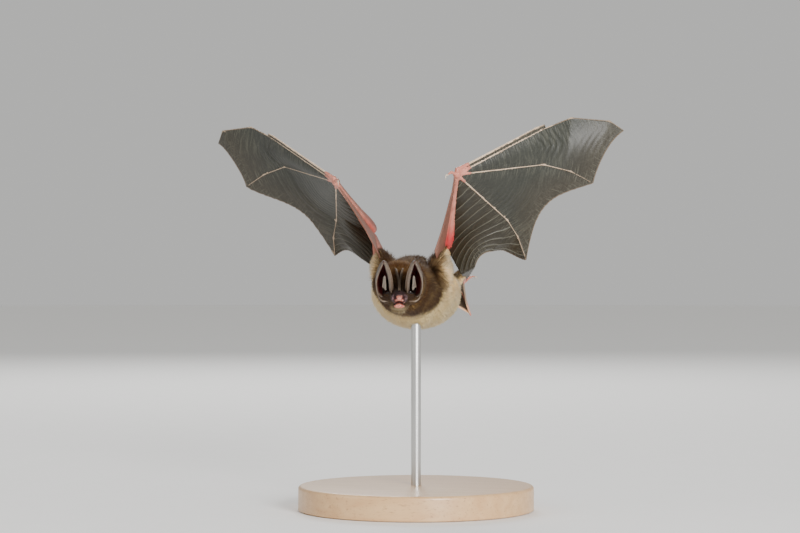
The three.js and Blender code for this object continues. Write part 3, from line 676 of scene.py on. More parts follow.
def panel_grid(inner, outer, sag, skew, belly, palm, steps):
    """The skin between two lines that leave one wrist, with how far each point is from its edges."""
    u, v = np.meshgrid(np.linspace(0, 1, steps[0]), np.linspace(0, 1, steps[1]), indexing="ij")
    across = u**skew
    reach = (HAND_START + (1 - HAND_START) * v) * (1 - sag * 4 * across * (1 - across) * v)
    points = inner(reach) + (outer(reach) - inner(reach)) * u[..., None]
    bulge = np.sin(math.pi * across) * np.sin(math.pi * reach * 0.75)
    points = points + (belly * bulge)[..., None] * palm
    start = points[:, :1]
    from_wrist = np.linalg.norm(points - start, axis=-1)
    step = np.linalg.norm(np.diff(points, axis=1), axis=-1)
    to_edge = np.cumsum(np.concatenate([0 * step[:, :1], step[:, ::-1]], 1), 1)[:, ::-1]
    return points, u, v, from_wrist, to_edge


def inner_line(wing, leg, side):
    """Wrist, elbow, side of the body and heel, as the inner edge of the flank skin."""
    heel = leg["ankle"] + 0.35 * (leg["toes"] - leg["ankle"])
    places = np.array([wing["wrist"], wing["elbow"], mirrored(side, FLANK), heel])
    shares = [0, 0.46, 0.74, 1]
    return lambda t: np.stack([np.interp(t, shares, places[:, k]) for k in range(3)], -1)


def finger_line(joints):
    """The places along a finger as a function of the fraction of its length."""
    return lambda t: along(joints, t)


def outer_hand(wing, pose, palm):
    """Third to fourth finger: creased where both first joints bend."""
    sag, skew = pose["outer"]
    third, fourth = finger_line(wing[3]), finger_line(wing[4])
    grid = panel_grid(third, fourth, sag, skew, HAND_BELLY, palm, (40, 100))
    points, u, _, reach, edge = grid
    middle = np.exp(-(((reach - 36 + 3 * np.sin(math.pi * u)) / 6) ** 2)) * np.sin(math.pi * u)
    crease = 0.2 * middle * np.sin(2 * math.pi * (reach + 7 * abs(u - 0.45)) / OUTER_CREASE)
    ripple = 0.07 * ramp(reach, 40, 48) * np.sin(2 * math.pi * edge / OUTER_RIPPLE)
    ripple = ripple * np.sin(math.pi * u)
    return folded(points, crease + ripple), u, reach, edge


def inner_hand(wing, pose, palm):
    """Fourth to fifth finger: even ripples at a constant distance from the wrist."""
    sag, skew = pose["inner"]
    fourth, fifth = finger_line(wing[4]), finger_line(wing[5])
    grid = panel_grid(fourth, fifth, sag, skew, HAND_BELLY, palm, (40, 100))
    points, u, _, reach, edge = grid
    ripple = 0.11 * ramp(reach, 12, 20) * np.sin(2 * math.pi * reach / INNER_RIPPLE)
    ripple = ripple * np.sin(math.pi * u) ** 0.5
    hem = 0.12 * np.exp(-edge / 2.5) * np.sin(2 * math.pi * u * 15)
    return folded(points, ripple * ramp(edge, 2, 6) + hem), u, reach, edge


def flank(wing, pose, leg, palm):
    """Fifth finger to arm, body and leg: elastic bands run across it like the rungs of a ladder."""
    sag, skew = pose["flank"]
    line = inner_line(wing, leg, pose["side"])
    grid = panel_grid(finger_line(wing[5]), line, sag, skew, FLANK_BELLY, palm, (64, 110))
    points, u, v, reach, edge = grid
    rung = v * LADDER_RUNGS[pose["side"]]
    fork = 0.5 * np.clip(u - 0.62, 0, 1)
    ridge = np.exp(-(((abs(rung % 1 - 0.5) - fork) / 0.12) ** 2)) * ramp(u, 0.0, 0.1)
    hem = 0.1 * np.exp(-edge / 2.5) * np.sin(2 * math.pi * u * 26)
    return folded(points, 0.15 * ridge * ramp(reach, 5, 10) + hem), u, rung, edge


def leading_skin(wing, pose):
    """The narrow skin in front of the arm."""
    front = mirrored(pose["side"], pose["skin_front"])
    u, v = np.meshgrid(np.linspace(0, 1, 12), np.linspace(0, 1, 60), indexing="ij")
    t = 0.02 + 0.9 * v
    sag = 0.12 * np.sin(math.pi * t)
    arm = along([wing["wrist"], wing["elbow"], wing["shoulder"]], t)
    line = wing["wrist"] + (front - wing["wrist"]) * t[..., None]
    return line + (arm - line) * (sag + (1 - sag) * u)[..., None], u, v * 30, 6 * (1 - u)


def leading_strip(wing):
    """The ribbon between the second and the third finger, which stiffens the wing's front edge."""
    u, v = np.meshgrid(np.linspace(0, 1, 6), np.linspace(0.03, 1, 60), indexing="ij")
    length = METACARPALS[2] + PHALANGES[2][0]
    second = along(wing[2], v)
    third = along(wing[3][:3], v * length / chain_length(wing[3][:3]))
    return second + (third - second) * u[..., None], u, v * length, 1.4 * u


def tail_skin(leg):
    """Half of the skin between the legs, from the tail out to the leg and the spur of the heel."""
    tail = curve_through(TAIL, 80)
    u, v = np.meshgrid(np.linspace(0, 1, 30), np.linspace(0, 1, 70), indexing="ij")
    across = np.sin(math.pi * u)
    t = 0.02 + 0.96 * v * (1 - 0.1 * across)
    outer = along([leg["hip"], leg["knee"], leg["ankle"], leg["spur"]], t)
    inner = along(tail, t)
    points = inner + (outer - inner) * u[..., None]
    points[..., 2] -= TAIL_SKIN_DROOP * across * np.sin(math.pi * t * 0.8)
    ripple = 0.08 * np.sin(2 * math.pi * t * TAIL_SKIN_LENGTH / TAIL_RIPPLE) * across
    return folded(points, ripple), u, TAIL_SKIN_LENGTH * v, TAIL_SKIN_LENGTH * (1 - v)


print("membrane:", MEMBRANE, "mm thick")

# %% [markdown]
# ## Arm, fingers, legs and tail
# These are bare, so the skin follows the bone. Each finger is a slim shaft with a knob at each
# joint. The forearm is fleshy near the elbow, where its muscles lie, and thin at the wrist. Forearm,
# wrist and thumb are remeshed like the body. The fingers are too thin for that and stay sweeps.

# %% Arms and fingers
WRIST_RADIUS, THUMB_DROOP = 1.3, 1.1
FINGER_START = 0.06
ARM_VOXEL, ARM_ROUNDS, LEG_ROUNDS = 0.24, 4, 3
FOREARM_RADII = [(0, 1.2), (0.03, 1.75), (0.1, 1.95), (0.2, 1.9)]
FOREARM_RADII += [(0.4, 1.35), (0.7, 0.95), (0.92, 0.85), (1, 1.0)]


def finger_core(joints):
    """The line of one finger from the wrist to its tip, and its radius along it."""
    total = chain_length(joints)
    stops = np.cumsum(np.linalg.norm(np.diff(joints, axis=0), axis=1))[:-1]
    t = np.linspace(FINGER_START, 1, 160)
    knobs = sum(0.12 * np.exp(-(((t * total - stop) / 0.75) ** 2)) for stop in stops)
    radius = (0.28 - 0.12 * t + knobs) * np.clip((1 - t) * total / 0.5, 0, 1) ** 0.5
    path = along(joints, t)
    path[1:-1] = (path[:-2] + 2 * path[1:-1] + path[2:]) / 4
    return path, radius


def thumb_tip(wing, pose):
    """The end of the thumb, where its claw starts."""
    ahead = bone_direction(pose["side"], *pose["thumb"])
    return wing["wrist"] + THUMB * ahead - [0, 0, THUMB_DROOP]


def arm_object(name, wing, pose):
    """Forearm, wrist, thumb and the roots of the fingers, melted into one."""
    root = wing["wrist"] + 0.6 * bone_direction(pose["side"], *pose["thumb"])
    tip = thumb_tip(wing, pose)
    thumb = curve_through([root, root + 0.6 * (tip - root) + [0, 0, 0.7], tip], 24)
    t = np.linspace(0, 1, 24)
    thumb_radius = np.interp(t, [0, 0.4, 0.55, 0.8, 1], [0.62, 0.48, 0.56, 0.4, 0.25])
    parts = [
        limb(wing["elbow"], wing["wrist"], FOREARM_RADII, 24, 60),
        blob(wing["wrist"], (WRIST_RADIUS,) * 3),
        sweep(thumb, thumb_radius, thumb_radius, 14),
    ]
    for digit in (2, 3, 4, 5):
        end = wing[digit][0] + 0.16 * (wing[digit][1] - wing[digit][0])
        parts.append(limb(wing[digit][0], end, [(0, 0.8), (0.3, 0.62), (1, 0.5)], 14, 20))
    return remeshed(name, parts, ARM_VOXEL, ARM_ROUNDS)


# %% Legs and tail
FOOT, TOE = 3.4, 2.7
TOES = (-2, -1, 0, 1, 2)
SHANK_RADII = [(0, 1.0), (0.12, 1.2), (0.4, 0.9), (0.8, 0.6), (0.95, 0.7), (1, 0.6)]


def shank_part(leg):
    return limb(leg["knee"], leg["ankle"], SHANK_RADII, 20, 40)


def foot_axes(leg):
    ahead = unit(leg["toes"] - leg["ankle"])
    return ahead, unit(np.cross(ahead, [0, 0, 1]))


def toe_line(leg, place):
    ahead, across = foot_axes(leg)
    root = leg["ankle"] + (0.1 + FOOT) * ahead + place * 0.5 * across
    tip = root + TOE * ahead + place * 0.35 * across - [0, 0, 0.9]
    return curve_through([root, root + 0.55 * (tip - root) + [0, 0, 0.3], tip], 14)


def foot_parts(leg):
    ahead, _ = foot_axes(leg)
    t = rounded_steps(20)
    heel = leg["ankle"] - 0.3 * ahead
    sole = sweep(along([heel, heel + (FOOT + 1.3) * ahead], t), 0.5 + 0.7 * t, 0.55 + 0 * t, 20)
    toes = []
    for place in TOES:
        radius = np.interp(np.linspace(0, 1, 14), [0, 0.5, 0.6, 1], [0.34, 0.27, 0.33, 0.2])
        toes.append(sweep(toe_line(leg, place), radius, radius, 10))
    return [sole, *toes]


def calcar_core(leg):
    """The line and radius of the spur that spreads the tail skin."""
    t = rounded_steps(40)
    return along([leg["ankle"], leg["spur"]], t), (0.42 - 0.18 * t) * np.sqrt(np.clip(1 - t**20, 0, 1))


def tail_part():
    t = np.linspace(0, 1, 90)
    knobs = 0.09 * np.cos(2 * math.pi * t * 11)
    radius = 0.8 * (1.12 - 0.65 * t) + knobs * (1 - t) - 0.06
    return sweep(curve_through(TAIL, 90), radius, radius, 14)


leg_objects = []
for key, leg in legs.items():
    parts = [shank_part(leg), *foot_parts(leg)]
    leg_objects.append(remeshed(f"leg_{key}", parts, ARM_VOXEL, LEG_ROUNDS))
arm_objects = {key: arm_object(f"arm_{key}", wing, POSES[key]) for key, wing in wings.items()}

# %% [markdown]
# ## One skin
# Every closed form so far is joined by boolean unions, so the skin runs without a seam from the
# nose to the wing tips. A remesh of the whole would need points finer than the membrane is thick.
# The union moves no point, so each point of the skin finds the form that it came from by its
# place, and takes that form's marks.

# %% Joining the skin
# The kinds of skin, and the panels of the membrane.
FUR, BARE, BONE, WEB, EAR_SKIN = range(5)
HAND, FLANK_PANEL, LEADING, TAIL_PANEL = range(4)

FACE_MARKS = ("bald_and_shaded", "pink", "slit_shade", "mauve")
EAR_MARKS = ("inside", "pale", "hair")
WEB_MARKS = ("reach", "panel", "across", "edge", "along", "gap")
MARKS = ("back", "blush", "dusky", *FACE_MARKS, *EAR_MARKS, *WEB_MARKS)
BARE_FROM = {"l": 0.82, "r": 0.4}
ARM_REACH = 7


def near_bone(points, start, end):
    """The fraction along a bone, and the distance from it."""
    axis = end - start
    t = np.clip(((points - start) @ axis) / (axis @ axis), -0.5, 1.5)
    return t, np.linalg.norm(points - start - t[:, None] * axis, axis=1)


def joined(base, others):
    """The union of closed objects, as one mesh."""
    for other in others:
        modifier = base.modifiers.new(other.name, "BOOLEAN")
        modifier.operation = "UNION"
        modifier.solver = "MANIFOLD"
        modifier.object = other
    mesh = bpy.data.meshes.new_from_object(base.evaluated_get(bpy.context.evaluated_depsgraph_get()))
    for used in [base, *others]:
        bpy.data.objects.remove(used)
    return mesh


sources = []


def add_source(made, kind, marks=()):
    """Keeps an object's points with their kind of skin and their marks."""
    points = read_points(made.data)
    sources.append((points, np.broadcast_to(kind, len(points)), dict(marks)))
    return made


body_kind = np.full(len(body.data.vertices), FUR)
for key, wing in wings.items():
    t, gap = near_bone(read_points(body.data), wing["shoulder"], wing["elbow"])
    body_kind[(t > BARE_FROM[key]) & (gap < ARM_REACH)] = BARE
add_source(body, body_kind)
others = [add_source(head, FUR, head_marks)]
for i, ((points, faces), ear_marks) in enumerate(ears):
    others.append(add_source(new_object(f"ear_{i}", from_head(points), faces), EAR_SKIN, ear_marks))
others += [add_source(made, BARE) for made in [*arm_objects.values(), *leg_objects]]
others.append(add_source(new_object("tail", *tail_part()), BARE))
cores = []
for key, wing in wings.items():
    pose, leg = POSES[key], legs[key]
    palm = palm_side(wing, pose["side"])
    slim = {f"digit{digit}_{key}": finger_core(wing[digit]) for digit in (2, 3, 4, 5)}
    slim[f"calcar_{key}"] = calcar_core(leg)
    for name, (path, radius) in slim.items():
        cores.append((path, radius))
        made = new_object(name, *sweep(path, radius, radius, 10, (0, 0.2, 1)))
        reach = np.linalg.norm(read_points(made.data) - wing["wrist"], axis=1)
        others.append(add_source(made, BONE, {"reach": reach}))
    sheets = [
        ("outer", HAND, outer_hand(wing, pose, palm)),
        ("inner", HAND, inner_hand(wing, pose, palm)),
        ("flank", FLANK_PANEL, flank(wing, pose, leg, palm)),
        ("leading", LEADING, leading_skin(wing, pose)),
        ("strip", HAND, leading_strip(wing)),
        ("tail_skin", TAIL_PANEL, tail_skin(leg)),
    ]
    for name, panel, (grid, across, reach, edge) in sheets:
        thickness = MEMBRANE * (0.8 + 0.35 * np.exp(-edge / 0.6))
        places = {"across": across, "reach": reach, "edge": edge}
        places = {mark: np.tile(values.ravel(), 2) for mark, values in places.items()}
        made = new_object(f"{name}_{key}", *shell(grid, thickness))
        others.append(add_source(made, WEB, places | {"panel": panel}))

skin_mesh = joined(body, others)
skin_points = read_points(skin_mesh)
skin_normals = read_points(skin_mesh, "normal")
source, _ = nearest(np.vstack([points for points, _, _ in sources]), skin_points)
skin_kind = np.concatenate([kinds for _, kinds, _ in sources])[source]
marks = {}
for mark in MARKS:
    values = [np.broadcast_to(found.get(mark, 0.0), len(points)) for points, _, found in sources]
    marks[mark] = np.concatenate(values)[source]
print("skin:", len(skin_points), "points,", len(skin_mesh.polygons), "faces")

# %% [markdown]
# ## Marks on the skin
# Where the back's brown meets the belly's cream depends on the place and on the way the skin faces.
# The arm is cream on the palm's side and brown behind, and blood shows through near the elbow. Skin
# and coat read the same marks. Each face also gets its kind of skin, which picks its material.


# %% Marks on the skin
BLUSH = {"l": 1.0, "r": 0.45}
BLUSH_RADIUS = 6.0
HEAD_REACH = 12


def back_mask(points, normals):
    """1 on the dark back and mantle, 0 on the cream belly."""
    x, y, z = points.T
    top = ramp(normals[:, 2] + (z - 7) / 14, 0.2, 0.75)
    mantle = 1 - ramp(np.hypot((x + 0.3) / 9.8, (z - 3.4) / 8.8), 0.94, 1.12)
    return np.maximum(top, mantle * (1 - ramp(y, -8, -3)))


in_head = to_head(skin_points)
from_skull = np.linalg.norm(in_head * [1, 0.75, 1.0], axis=1)
of_head = (in_head[:, 1] < 4) & (from_skull < HEAD_REACH)
marks["back"] = back_mask(skin_points, skin_normals)
for key, wing in wings.items():
    t, gap = near_bone(skin_points, wing["shoulder"], wing["elbow"])
    out = skin_points[:, 0] * POSES[key]["side"]
    arm_share = np.maximum(ramp(t, 0.1, 0.35), ramp(t, 0, 0.1) * ramp(out, 8, 10)) * (gap < ARM_REACH)
    from_palm = -skin_normals @ palm_side(wing, POSES[key]["side"])
    marks["back"] = marks["back"] * (1 - arm_share) + ramp(from_palm, 0.0, 0.5) * arm_share
    flush = wing["elbow"] + 0.14 * (wing["wrist"] - wing["elbow"])
    marks["blush"] = marks["blush"] + BLUSH[key] * soft_spot(skin_points, flush, BLUSH_RADIUS)
    in_wing = (out > 0) & (skin_points[:, 2] > 4)
    marks["dusky"] = np.where(in_wing, ramp(from_palm, 0.0, 0.6), marks["dusky"])
marks["dusky"] = np.where(skin_points[:, 2] < 4, ramp(skin_normals[:, 2], 0.1, 0.7), marks["dusky"])
to_wrists = [np.linalg.norm(skin_points - wing["wrist"], axis=1) for wing in wings.values()]
marks["along"] = np.minimum(*to_wrists)
_, marks["gap"] = nearest(np.vstack([path for path, _ in cores]), skin_points)
marks["back"] = np.where(of_head, 1 - 0.5 * ramp(-in_head[:, 2], 5.6, 7.5), marks["back"])

skin = bpy.data.objects.new("skin", skin_mesh)
bpy.context.collection.objects.link(skin)
skin_mesh.vertices.foreach_set("co", placed(skin_points).ravel())
for mark in MARKS:
    skin_mesh.attributes.new(mark, "FLOAT", "POINT").data.foreach_set("value", marks[mark])
triangles = np.empty(3 * len(skin_mesh.loop_triangles), int)
skin_mesh.loop_triangles.foreach_get("vertices", triangles)
triangles = triangles.reshape(-1, 3)
face_of = np.empty(len(skin_mesh.loop_triangles), int)
skin_mesh.loop_triangles.foreach_get("polygon_index", face_of)
face_kind = np.zeros(len(skin_mesh.polygons), np.int32)
face_kind[face_of] = np.median(skin_kind[triangles], axis=1)

# A face belongs to a finger when its middle is no further from the finger's line than the finger's
# radius and a small margin.
FINGER_MARGIN = 0.03
face_middle = np.zeros((len(skin_mesh.polygons), 3))
face_middle[face_of] = skin_points[triangles].mean(1)
thin = np.where((face_kind == BONE) | (face_kind == WEB))[0]
index, gap = nearest(np.vstack([path for path, _ in cores]), face_middle[thin])
finger_radius = np.concatenate([radius for _, radius in cores])[index]
face_kind[thin] = np.where(gap < finger_radius + FINGER_MARGIN, BONE, WEB)
skin_mesh.shade_smooth()
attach(skin, "root")
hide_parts(*[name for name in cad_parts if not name.startswith(("stand_", "eye_"))])
brown_percent = round(100 * float((marks["back"][skin_kind == FUR] > 0.5).mean()))
print("marks on the skin:", len(MARKS), "brown under the coat:", brown_percent, "percent of the points")

# %% [markdown]
# ## The coat
# Bat fur is dense and fine. Single hairs are far too many, so the coat is made of locks: each is a
# slim closed blade that leaves the skin at a slant and bends back along the body. They are set by
# area over the furred skin, closer together on the head, and the coat runs on to the ears' roots.

# %% Where the locks stand
rng = np.random.default_rng(SEED)
LOCKS = 145000
HEAD_EXTRA, EAR_ROOT_DENSITY = 1.5, 2.0

corner = skin_points[triangles]
area = np.linalg.norm(np.cross(corner[:, 1] - corner[:, 0], corner[:, 2] - corner[:, 0]), axis=1) / 2
furred = (skin_kind[triangles] == FUR).all(1)
head_share = of_head[triangles].mean(1)
bald_and_shaded = marks["bald_and_shaded"][triangles].max(1)
pinked = marks["pink"][triangles].max(1)
density = furred * (1 + HEAD_EXTRA * head_share) * np.clip(1 - bald_and_shaded - pinked, 0, 1)
density = density + EAR_ROOT_DENSITY * marks["hair"][triangles].min(1)
weight = area * density
picked = np.sort(rng.choice(len(weight), LOCKS, p=weight / weight.sum()))
share = rng.random((LOCKS, 2))
share = np.where(share.sum(1, keepdims=True) > 1, 1 - share, share)
weights = np.stack([1 - share.sum(1), share[:, 0], share[:, 1]], -1)[..., None]
root = (corner[picked] * weights).sum(1)
normal = unit((skin_normals[triangles[picked]] * weights).sum(1))
root_back = (marks["back"][triangles[picked]] * weights[..., 0]).sum(1)
root_head = to_head(root)
on_ear = ~furred[picked]
root_back = np.where(on_ear, 1.0, root_back)
on_head = (head_share[picked] > 0.5) | on_ear
print("locks per square mm:", round(LOCKS / weight.sum(), 1), "on the head:", int(on_head.sum()))
print("on the ears:", int(on_ear.sum()))

# %% [markdown]
# ## The lie and length of the coat
# Fur points away from the nose. On the trunk it runs to the tail and fans out where the skin faces
# ahead. On an arm it runs outward, on a thigh to the knee, on the head back from the muzzle, and on
# an ear's root along the ear. It is longest on the back and shortest on the face. The lift is the
# slant at which a lock leaves the skin, in degrees.

# %% The lie and length of the coat
LOCK_LENGTH, BACK_LENGTH, EAR_LOCK_LENGTH = 3.3, 1.0, 1.5
LOCK_LIFT, BACK_LIFT, HEAD_LIFT, BROW_LIFT, EAR_LOCK_LIFT = 17, 5, 20, 16, 15
LOCK_WIDTH, EAR_LOCK_WIDTH = 0.165, 0.06
UNEVEN_LENGTH, UNEVEN_LIFT, UNEVEN_WIDTH, UNEVEN_LIE = 0.13, 5, 0.12, 0.16
THIGH_REACH = 3.5
PARTING_HEIGHT, FAN_OUT = 9, 14
ARM_SHORTER, ARM_FLATTER, THIGH_SHORTER = 1.9, 8, 1.5

flow = np.stack([root[:, 0], 0 * root[:, 0], root[:, 2] - PARTING_HEIGHT], -1) / FAN_OUT
facing_ahead = np.clip(-normal[:, 1:2], 0, 1)
lie = [0.0, 1.0, 0.0] + (0.35 + 1.3 * facing_ahead) * flow
length = LOCK_LENGTH + BACK_LENGTH * root_back
lift = LOCK_LIFT + BACK_LIFT * root_back
for key, wing in wings.items():
    t, gap = near_bone(root, wing["shoulder"], wing["elbow"])
    on_arm = (ramp(t, 0.15, 0.45) * (gap < ARM_REACH))[:, None]
    outward = 0.4 * unit(wing["elbow"] - wing["shoulder"]) + [0.8 * POSES[key]["side"], 0.8, -0.1]
    lie = lie * (1 - on_arm) + on_arm * outward
    length = length - ARM_SHORTER * on_arm[:, 0]
    lift = lift - ARM_FLATTER * on_arm[:, 0]
    t, gap = near_bone(root, legs[key]["hip"], legs[key]["knee"])
    on_thigh = (ramp(t, 0.25, 0.5) * (gap < THIGH_REACH))[:, None]
    lie = lie * (1 - on_thigh) + on_thigh * unit(legs[key]["knee"] - legs[key]["hip"])
    length = length - (THIGH_SHORTER + 0.5 * ramp(t, 0.6, 1)) * on_thigh[:, 0]
x, y, z = root_head.T
brow = soft_spot(root_head, (0, -4, 5), (4.5, 5, 4))
crown = np.stack([x / 7, 0.9 + 0 * x, (z + 1) / 9], -1)
lie = np.where(on_head[:, None], from_head(crown) - HEAD_PLACE, lie)
face_length = np.interp(-y, [-6, 0, 5, 8, 11.5], [3.6, 2.9, 2.0, 1.1, 0.6])
length = np.where(on_head, face_length * (1 + 0.4 * brow), length)
lift = np.where(on_head, HEAD_LIFT + BROW_LIFT * brow, lift)
width = np.where(on_head, 0.075 + 0.03 * face_length, LOCK_WIDTH)
outward = np.stack([0.5 * np.sign(x), -1 + 0 * x, 0.3 + 0 * x], -1)
lie = np.where(on_ear[:, None], from_head(outward) - HEAD_PLACE, lie)
uneven = np.clip(rng.normal(1, UNEVEN_LENGTH, LOCKS), 0.7, 1.3)
length = np.where(on_ear, EAR_LOCK_LENGTH, length) * uneven
lift = np.where(on_ear, EAR_LOCK_LIFT, lift) + rng.normal(0, UNEVEN_LIFT, LOCKS)
width = np.where(on_ear, EAR_LOCK_WIDTH, width) * rng.normal(1, UNEVEN_WIDTH, LOCKS)
lie = unit(lie) + UNEVEN_LIE * rng.normal(size=(LOCKS, 3))
lie = unit(lie - normal * (lie * normal).sum(1, keepdims=True))
tone = np.clip(0.5 * rng.random(LOCKS) + 0.5 * patchy(root, 1.6), 0, 1)
# Painted shade: the locks on the cheeks, under the ears' roots, get darker tips.
cheek_shade = soft_spot(np.abs(root_head) * [1, -1, -1], (3.4, -8.6, -3.6), (2.2, 3.2, 2.4))
tone = np.where(on_ear, 0.6, tone - 0.7 * cheek_shade)
golden_brow = soft_spot(root_head, (0, -3, 6), (5, 6, 4))
warm = np.where(on_head, golden_brow, ramp(root[:, 2], -6, 7) * (1 - root_back))
print("lock length from", round(float(length.min()), 2), "to", round(float(length.max()), 2), "mm")

# %% [markdown]
# ## Building the locks
# A lock is two three-cornered rings and a tip, closed at its root, which sinks a little into the
# skin. It leaves at the steeper slant and ends nearly flat. Particle hair would be quicker to set
# up, but it has no mesh of its own, so it could be neither measured nor exported.


# %% Building the locks
LOCK_SINK, SWAY = 0.2, 0.1
ROOT_SLANT, TIP_SLANT = 1.45, 0.25  # shares of the lift


def lock_points(root, normal, lie, length, lift, width):
    """Seven points for each lock: two rings of three, and a tip."""
    side = np.cross(normal, lie)
    start, end = np.radians(lift * ROOT_SLANT), np.radians(lift * TIP_SLANT)
    sway = rng.normal(0, SWAY, len(root))
    rings = []
    for s, swell in ((0.0, 1.0), (0.5, 0.8), (1.0, 0.0)):
        ahead = length * (np.cos(start) * s + (np.cos(end) - np.cos(start)) / 2 * s * s)
        rise = length * (np.sin(start) * s - (np.sin(start) - np.sin(end)) / 2 * s * s) - LOCK_SINK
        sideways = side * (sway * length * s * s)[:, None]
        middle = root + lie * ahead[:, None] + normal * rise[:, None] + sideways
        half = (width * swell / 2)[:, None]
        if swell:
            rings += [middle - side * half, middle + side * half, middle + normal * half * 1.1]
        else:
            rings.append(middle)
    return np.stack(rings, 1)


LOCK_FACES = [(0, 2, 1)]
for a, b in ((0, 1), (1, 2), (2, 0)):
    LOCK_FACES += [(a, b, 3 + b), (a, 3 + b, 3 + a), (3 + a, 3 + b, 6)]
LOCK_FACES = np.array(LOCK_FACES)
LOCK_POINTS = 7
PATCH = 0.003  # the size of one lock's patch in the map, which is a unit square


def coat_piece(name, chosen, chart):
    """One object of many locks, each with its own small patch in the map at its root's place."""
    points = lock_points(*(values[chosen] for values in (root, normal, lie, length, lift, width)))
    count = len(points)
    faces = (LOCK_FACES[None] + LOCK_POINTS * np.arange(count)[:, None, None]).reshape(-1, 3)
    mesh = bpy.data.meshes.new(name)
    mesh.vertices.add(LOCK_POINTS * count)
    mesh.vertices.foreach_set("co", placed(points.reshape(-1, 3)).ravel())
    mesh.loops.add(3 * len(faces))
    mesh.loops.foreach_set("vertex_index", faces.ravel())
    mesh.polygons.add(len(faces))
    mesh.polygons.foreach_set("loop_start", np.arange(0, 3 * len(faces), 3))
    mesh.update()
    up_lock = np.array([0, 0, 0, 0.5, 0.5, 0.5, 1.0])
    over_lock = np.array([0, 1, 0.5, 0, 1, 0.5, 0.5])
    marks_of = {"up_lock": np.tile(up_lock, count)}
    marks_of |= {
        mark: np.repeat(values[chosen], LOCK_POINTS)
        for mark, values in (("tone", tone), ("back", root_back), ("warm", warm))
    }
    for mark, values in marks_of.items():
        mesh.attributes.new(mark, "FLOAT", "POINT").data.foreach_set("value", values)
    patch = np.stack([over_lock, up_lock], -1) * PATCH
    flat = (chart(root[chosen])[:, None] + patch).reshape(-1, 2)[faces.ravel()]
    mesh.uv_layers.new(name="OFBake").data.foreach_set("uv", flat.ravel())
    mesh.shade_smooth()
    made = bpy.data.objects.new(name, mesh)
    bpy.context.collection.objects.link(made)
    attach(made, "root")
    print(name, count, "locks,", len(faces), "triangles")
    return made


def unrolled(points, centre, axis):
    """A round part's surface unrolled about its own axis, to the unit square."""
    axis = unit(np.asarray(axis, float))
    across = unit(np.cross(axis, [0.3, 0.1, 1]))
    lift = np.cross(axis, across)
    p = points - centre
    turn = np.arctan2(p @ lift, p @ across) / (2 * math.pi) + 0.5
    reach = p @ axis
    span = reach.max() - reach.min() + 1e-6
    return np.stack([turn, (reach - reach.min()) / span], -1) * (1 - 2 * PATCH) + PATCH / 2


# The coat is cut into pieces, so that none has more than 200,000 triangles.
CROWN_HEIGHT, ARM_FROM = 1, 0.3
COAT_CUTS = (-99, 2, 11, 99)

bone_gap = {key: near_bone(root, wing["shoulder"], wing["elbow"]) for key, wing in wings.items()}
arm_locks = {key: ~on_head & (t > ARM_FROM) & (gap < ARM_REACH) for key, (t, gap) in bone_gap.items()}
trunk_only = ~on_head & ~arm_locks["l"] & ~arm_locks["r"]
trunk_middle, trunk_axis = (TRUNK_FRONT + TRUNK_REAR) / 2, TRUNK_REAR - TRUNK_FRONT
head_axis = from_head([0, -1, 0]) - HEAD_PLACE
regions = []
for key, wing in wings.items():
    mine = (root[:, 0] > 0) == (key == "l")
    upper = root_head[:, 2] > CROWN_HEIGHT
    for part, chosen in (("crown", upper), ("cheek", ~upper)):
        in_part = on_head & mine & chosen
        regions.append((f"coat_{part}_{key}", in_part, HEAD_PLACE, head_axis, "back_fur"))
    arm = wing["elbow"] - wing["shoulder"]
    regions.append((f"coat_arm_{key}", arm_locks[key], wing["shoulder"], arm, "back_fur"))
    for part, chosen in (("back", root_back > 0.5), ("belly", root_back <= 0.5)):
        for end, low, high in zip(("front", "middle", "rear"), COAT_CUTS, COAT_CUTS[1:]):
            in_part = trunk_only & mine & chosen & (root[:, 1] >= low) & (root[:, 1] < high)
            name = f"coat_{part}_{end}_{key}"
            regions.append((name, in_part, trunk_middle, trunk_axis, f"{part}_fur"))
coat = []
for name, chosen, centre, axis, slot in regions:
    coat.append(coat_piece(name, chosen, lambda p, c=centre, a=axis: unrolled(p, c, a)))
print("coat:", sum(len(piece.data.polygons) for piece in coat), "triangles")

# %% [markdown]
# ## Eyes and claws
# The eye is a small black bead between its lids. Each toe and the thumb ends in a hooked claw. Both
# are harder and glossier than skin, so they are pieces of their own.


# %% Eyes
def separate_piece(name, points, faces, slot):
    made = new_object(name, placed(points), faces)
    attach(made, "root")
    return made


eyes = []
for key, pose in POSES.items():
    points, faces = blob(from_head(EYE * [pose["side"], 1, 1]), (EYE_RADIUS,) * 3, 28)
    eyes.append(separate_piece(f"eyeball_{key}", points, faces, "eye"))
    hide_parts(f"eye_{key}")
print("eyes:", 2 * EYE_RADIUS, "mm across")

# %% Claws
CLAW_LENGTH = {"thumb": 2.0, "toe": 1.3}
CLAW_RADIUS = {"thumb": 0.26, "toe": 0.17}


def claw_part(start, ahead, length, radius):
    """A hook that leaves the toe straight and bends down to a point."""
    ahead = unit(ahead)
    bend = ahead * 0.75 * length - np.array([0, 0, 0.75 * length])
    path = curve_through([start - 0.3 * ahead, start + 0.5 * length * ahead, start + bend], 16)
    t = np.linspace(0, 1, 16)
    return sweep(path, radius * (1 - t**1.5), 1.25 * radius * (1 - t**1.5), 10)


claws = []
for key, leg in legs.items():
    for place in TOES:
        line = toe_line(leg, place)
        ahead = line[-1] - line[-5]
        claws.append(claw_part(line[-1], ahead, CLAW_LENGTH["toe"], CLAW_RADIUS["toe"]))
    tip = thumb_tip(wings[key], POSES[key])
    ahead = tip - wings[key]["wrist"]
    claws.append(claw_part(tip, ahead, CLAW_LENGTH["thumb"], CLAW_RADIUS["thumb"]))
claws = separate_piece("claws", *together(claws), "claw")
print("claws:", len(claws.data.polygons), "faces")

# %% [markdown]
# ## Stand
# A turned beech disc with a small chamfer, and a steel rod that ends inside the coat of the belly.

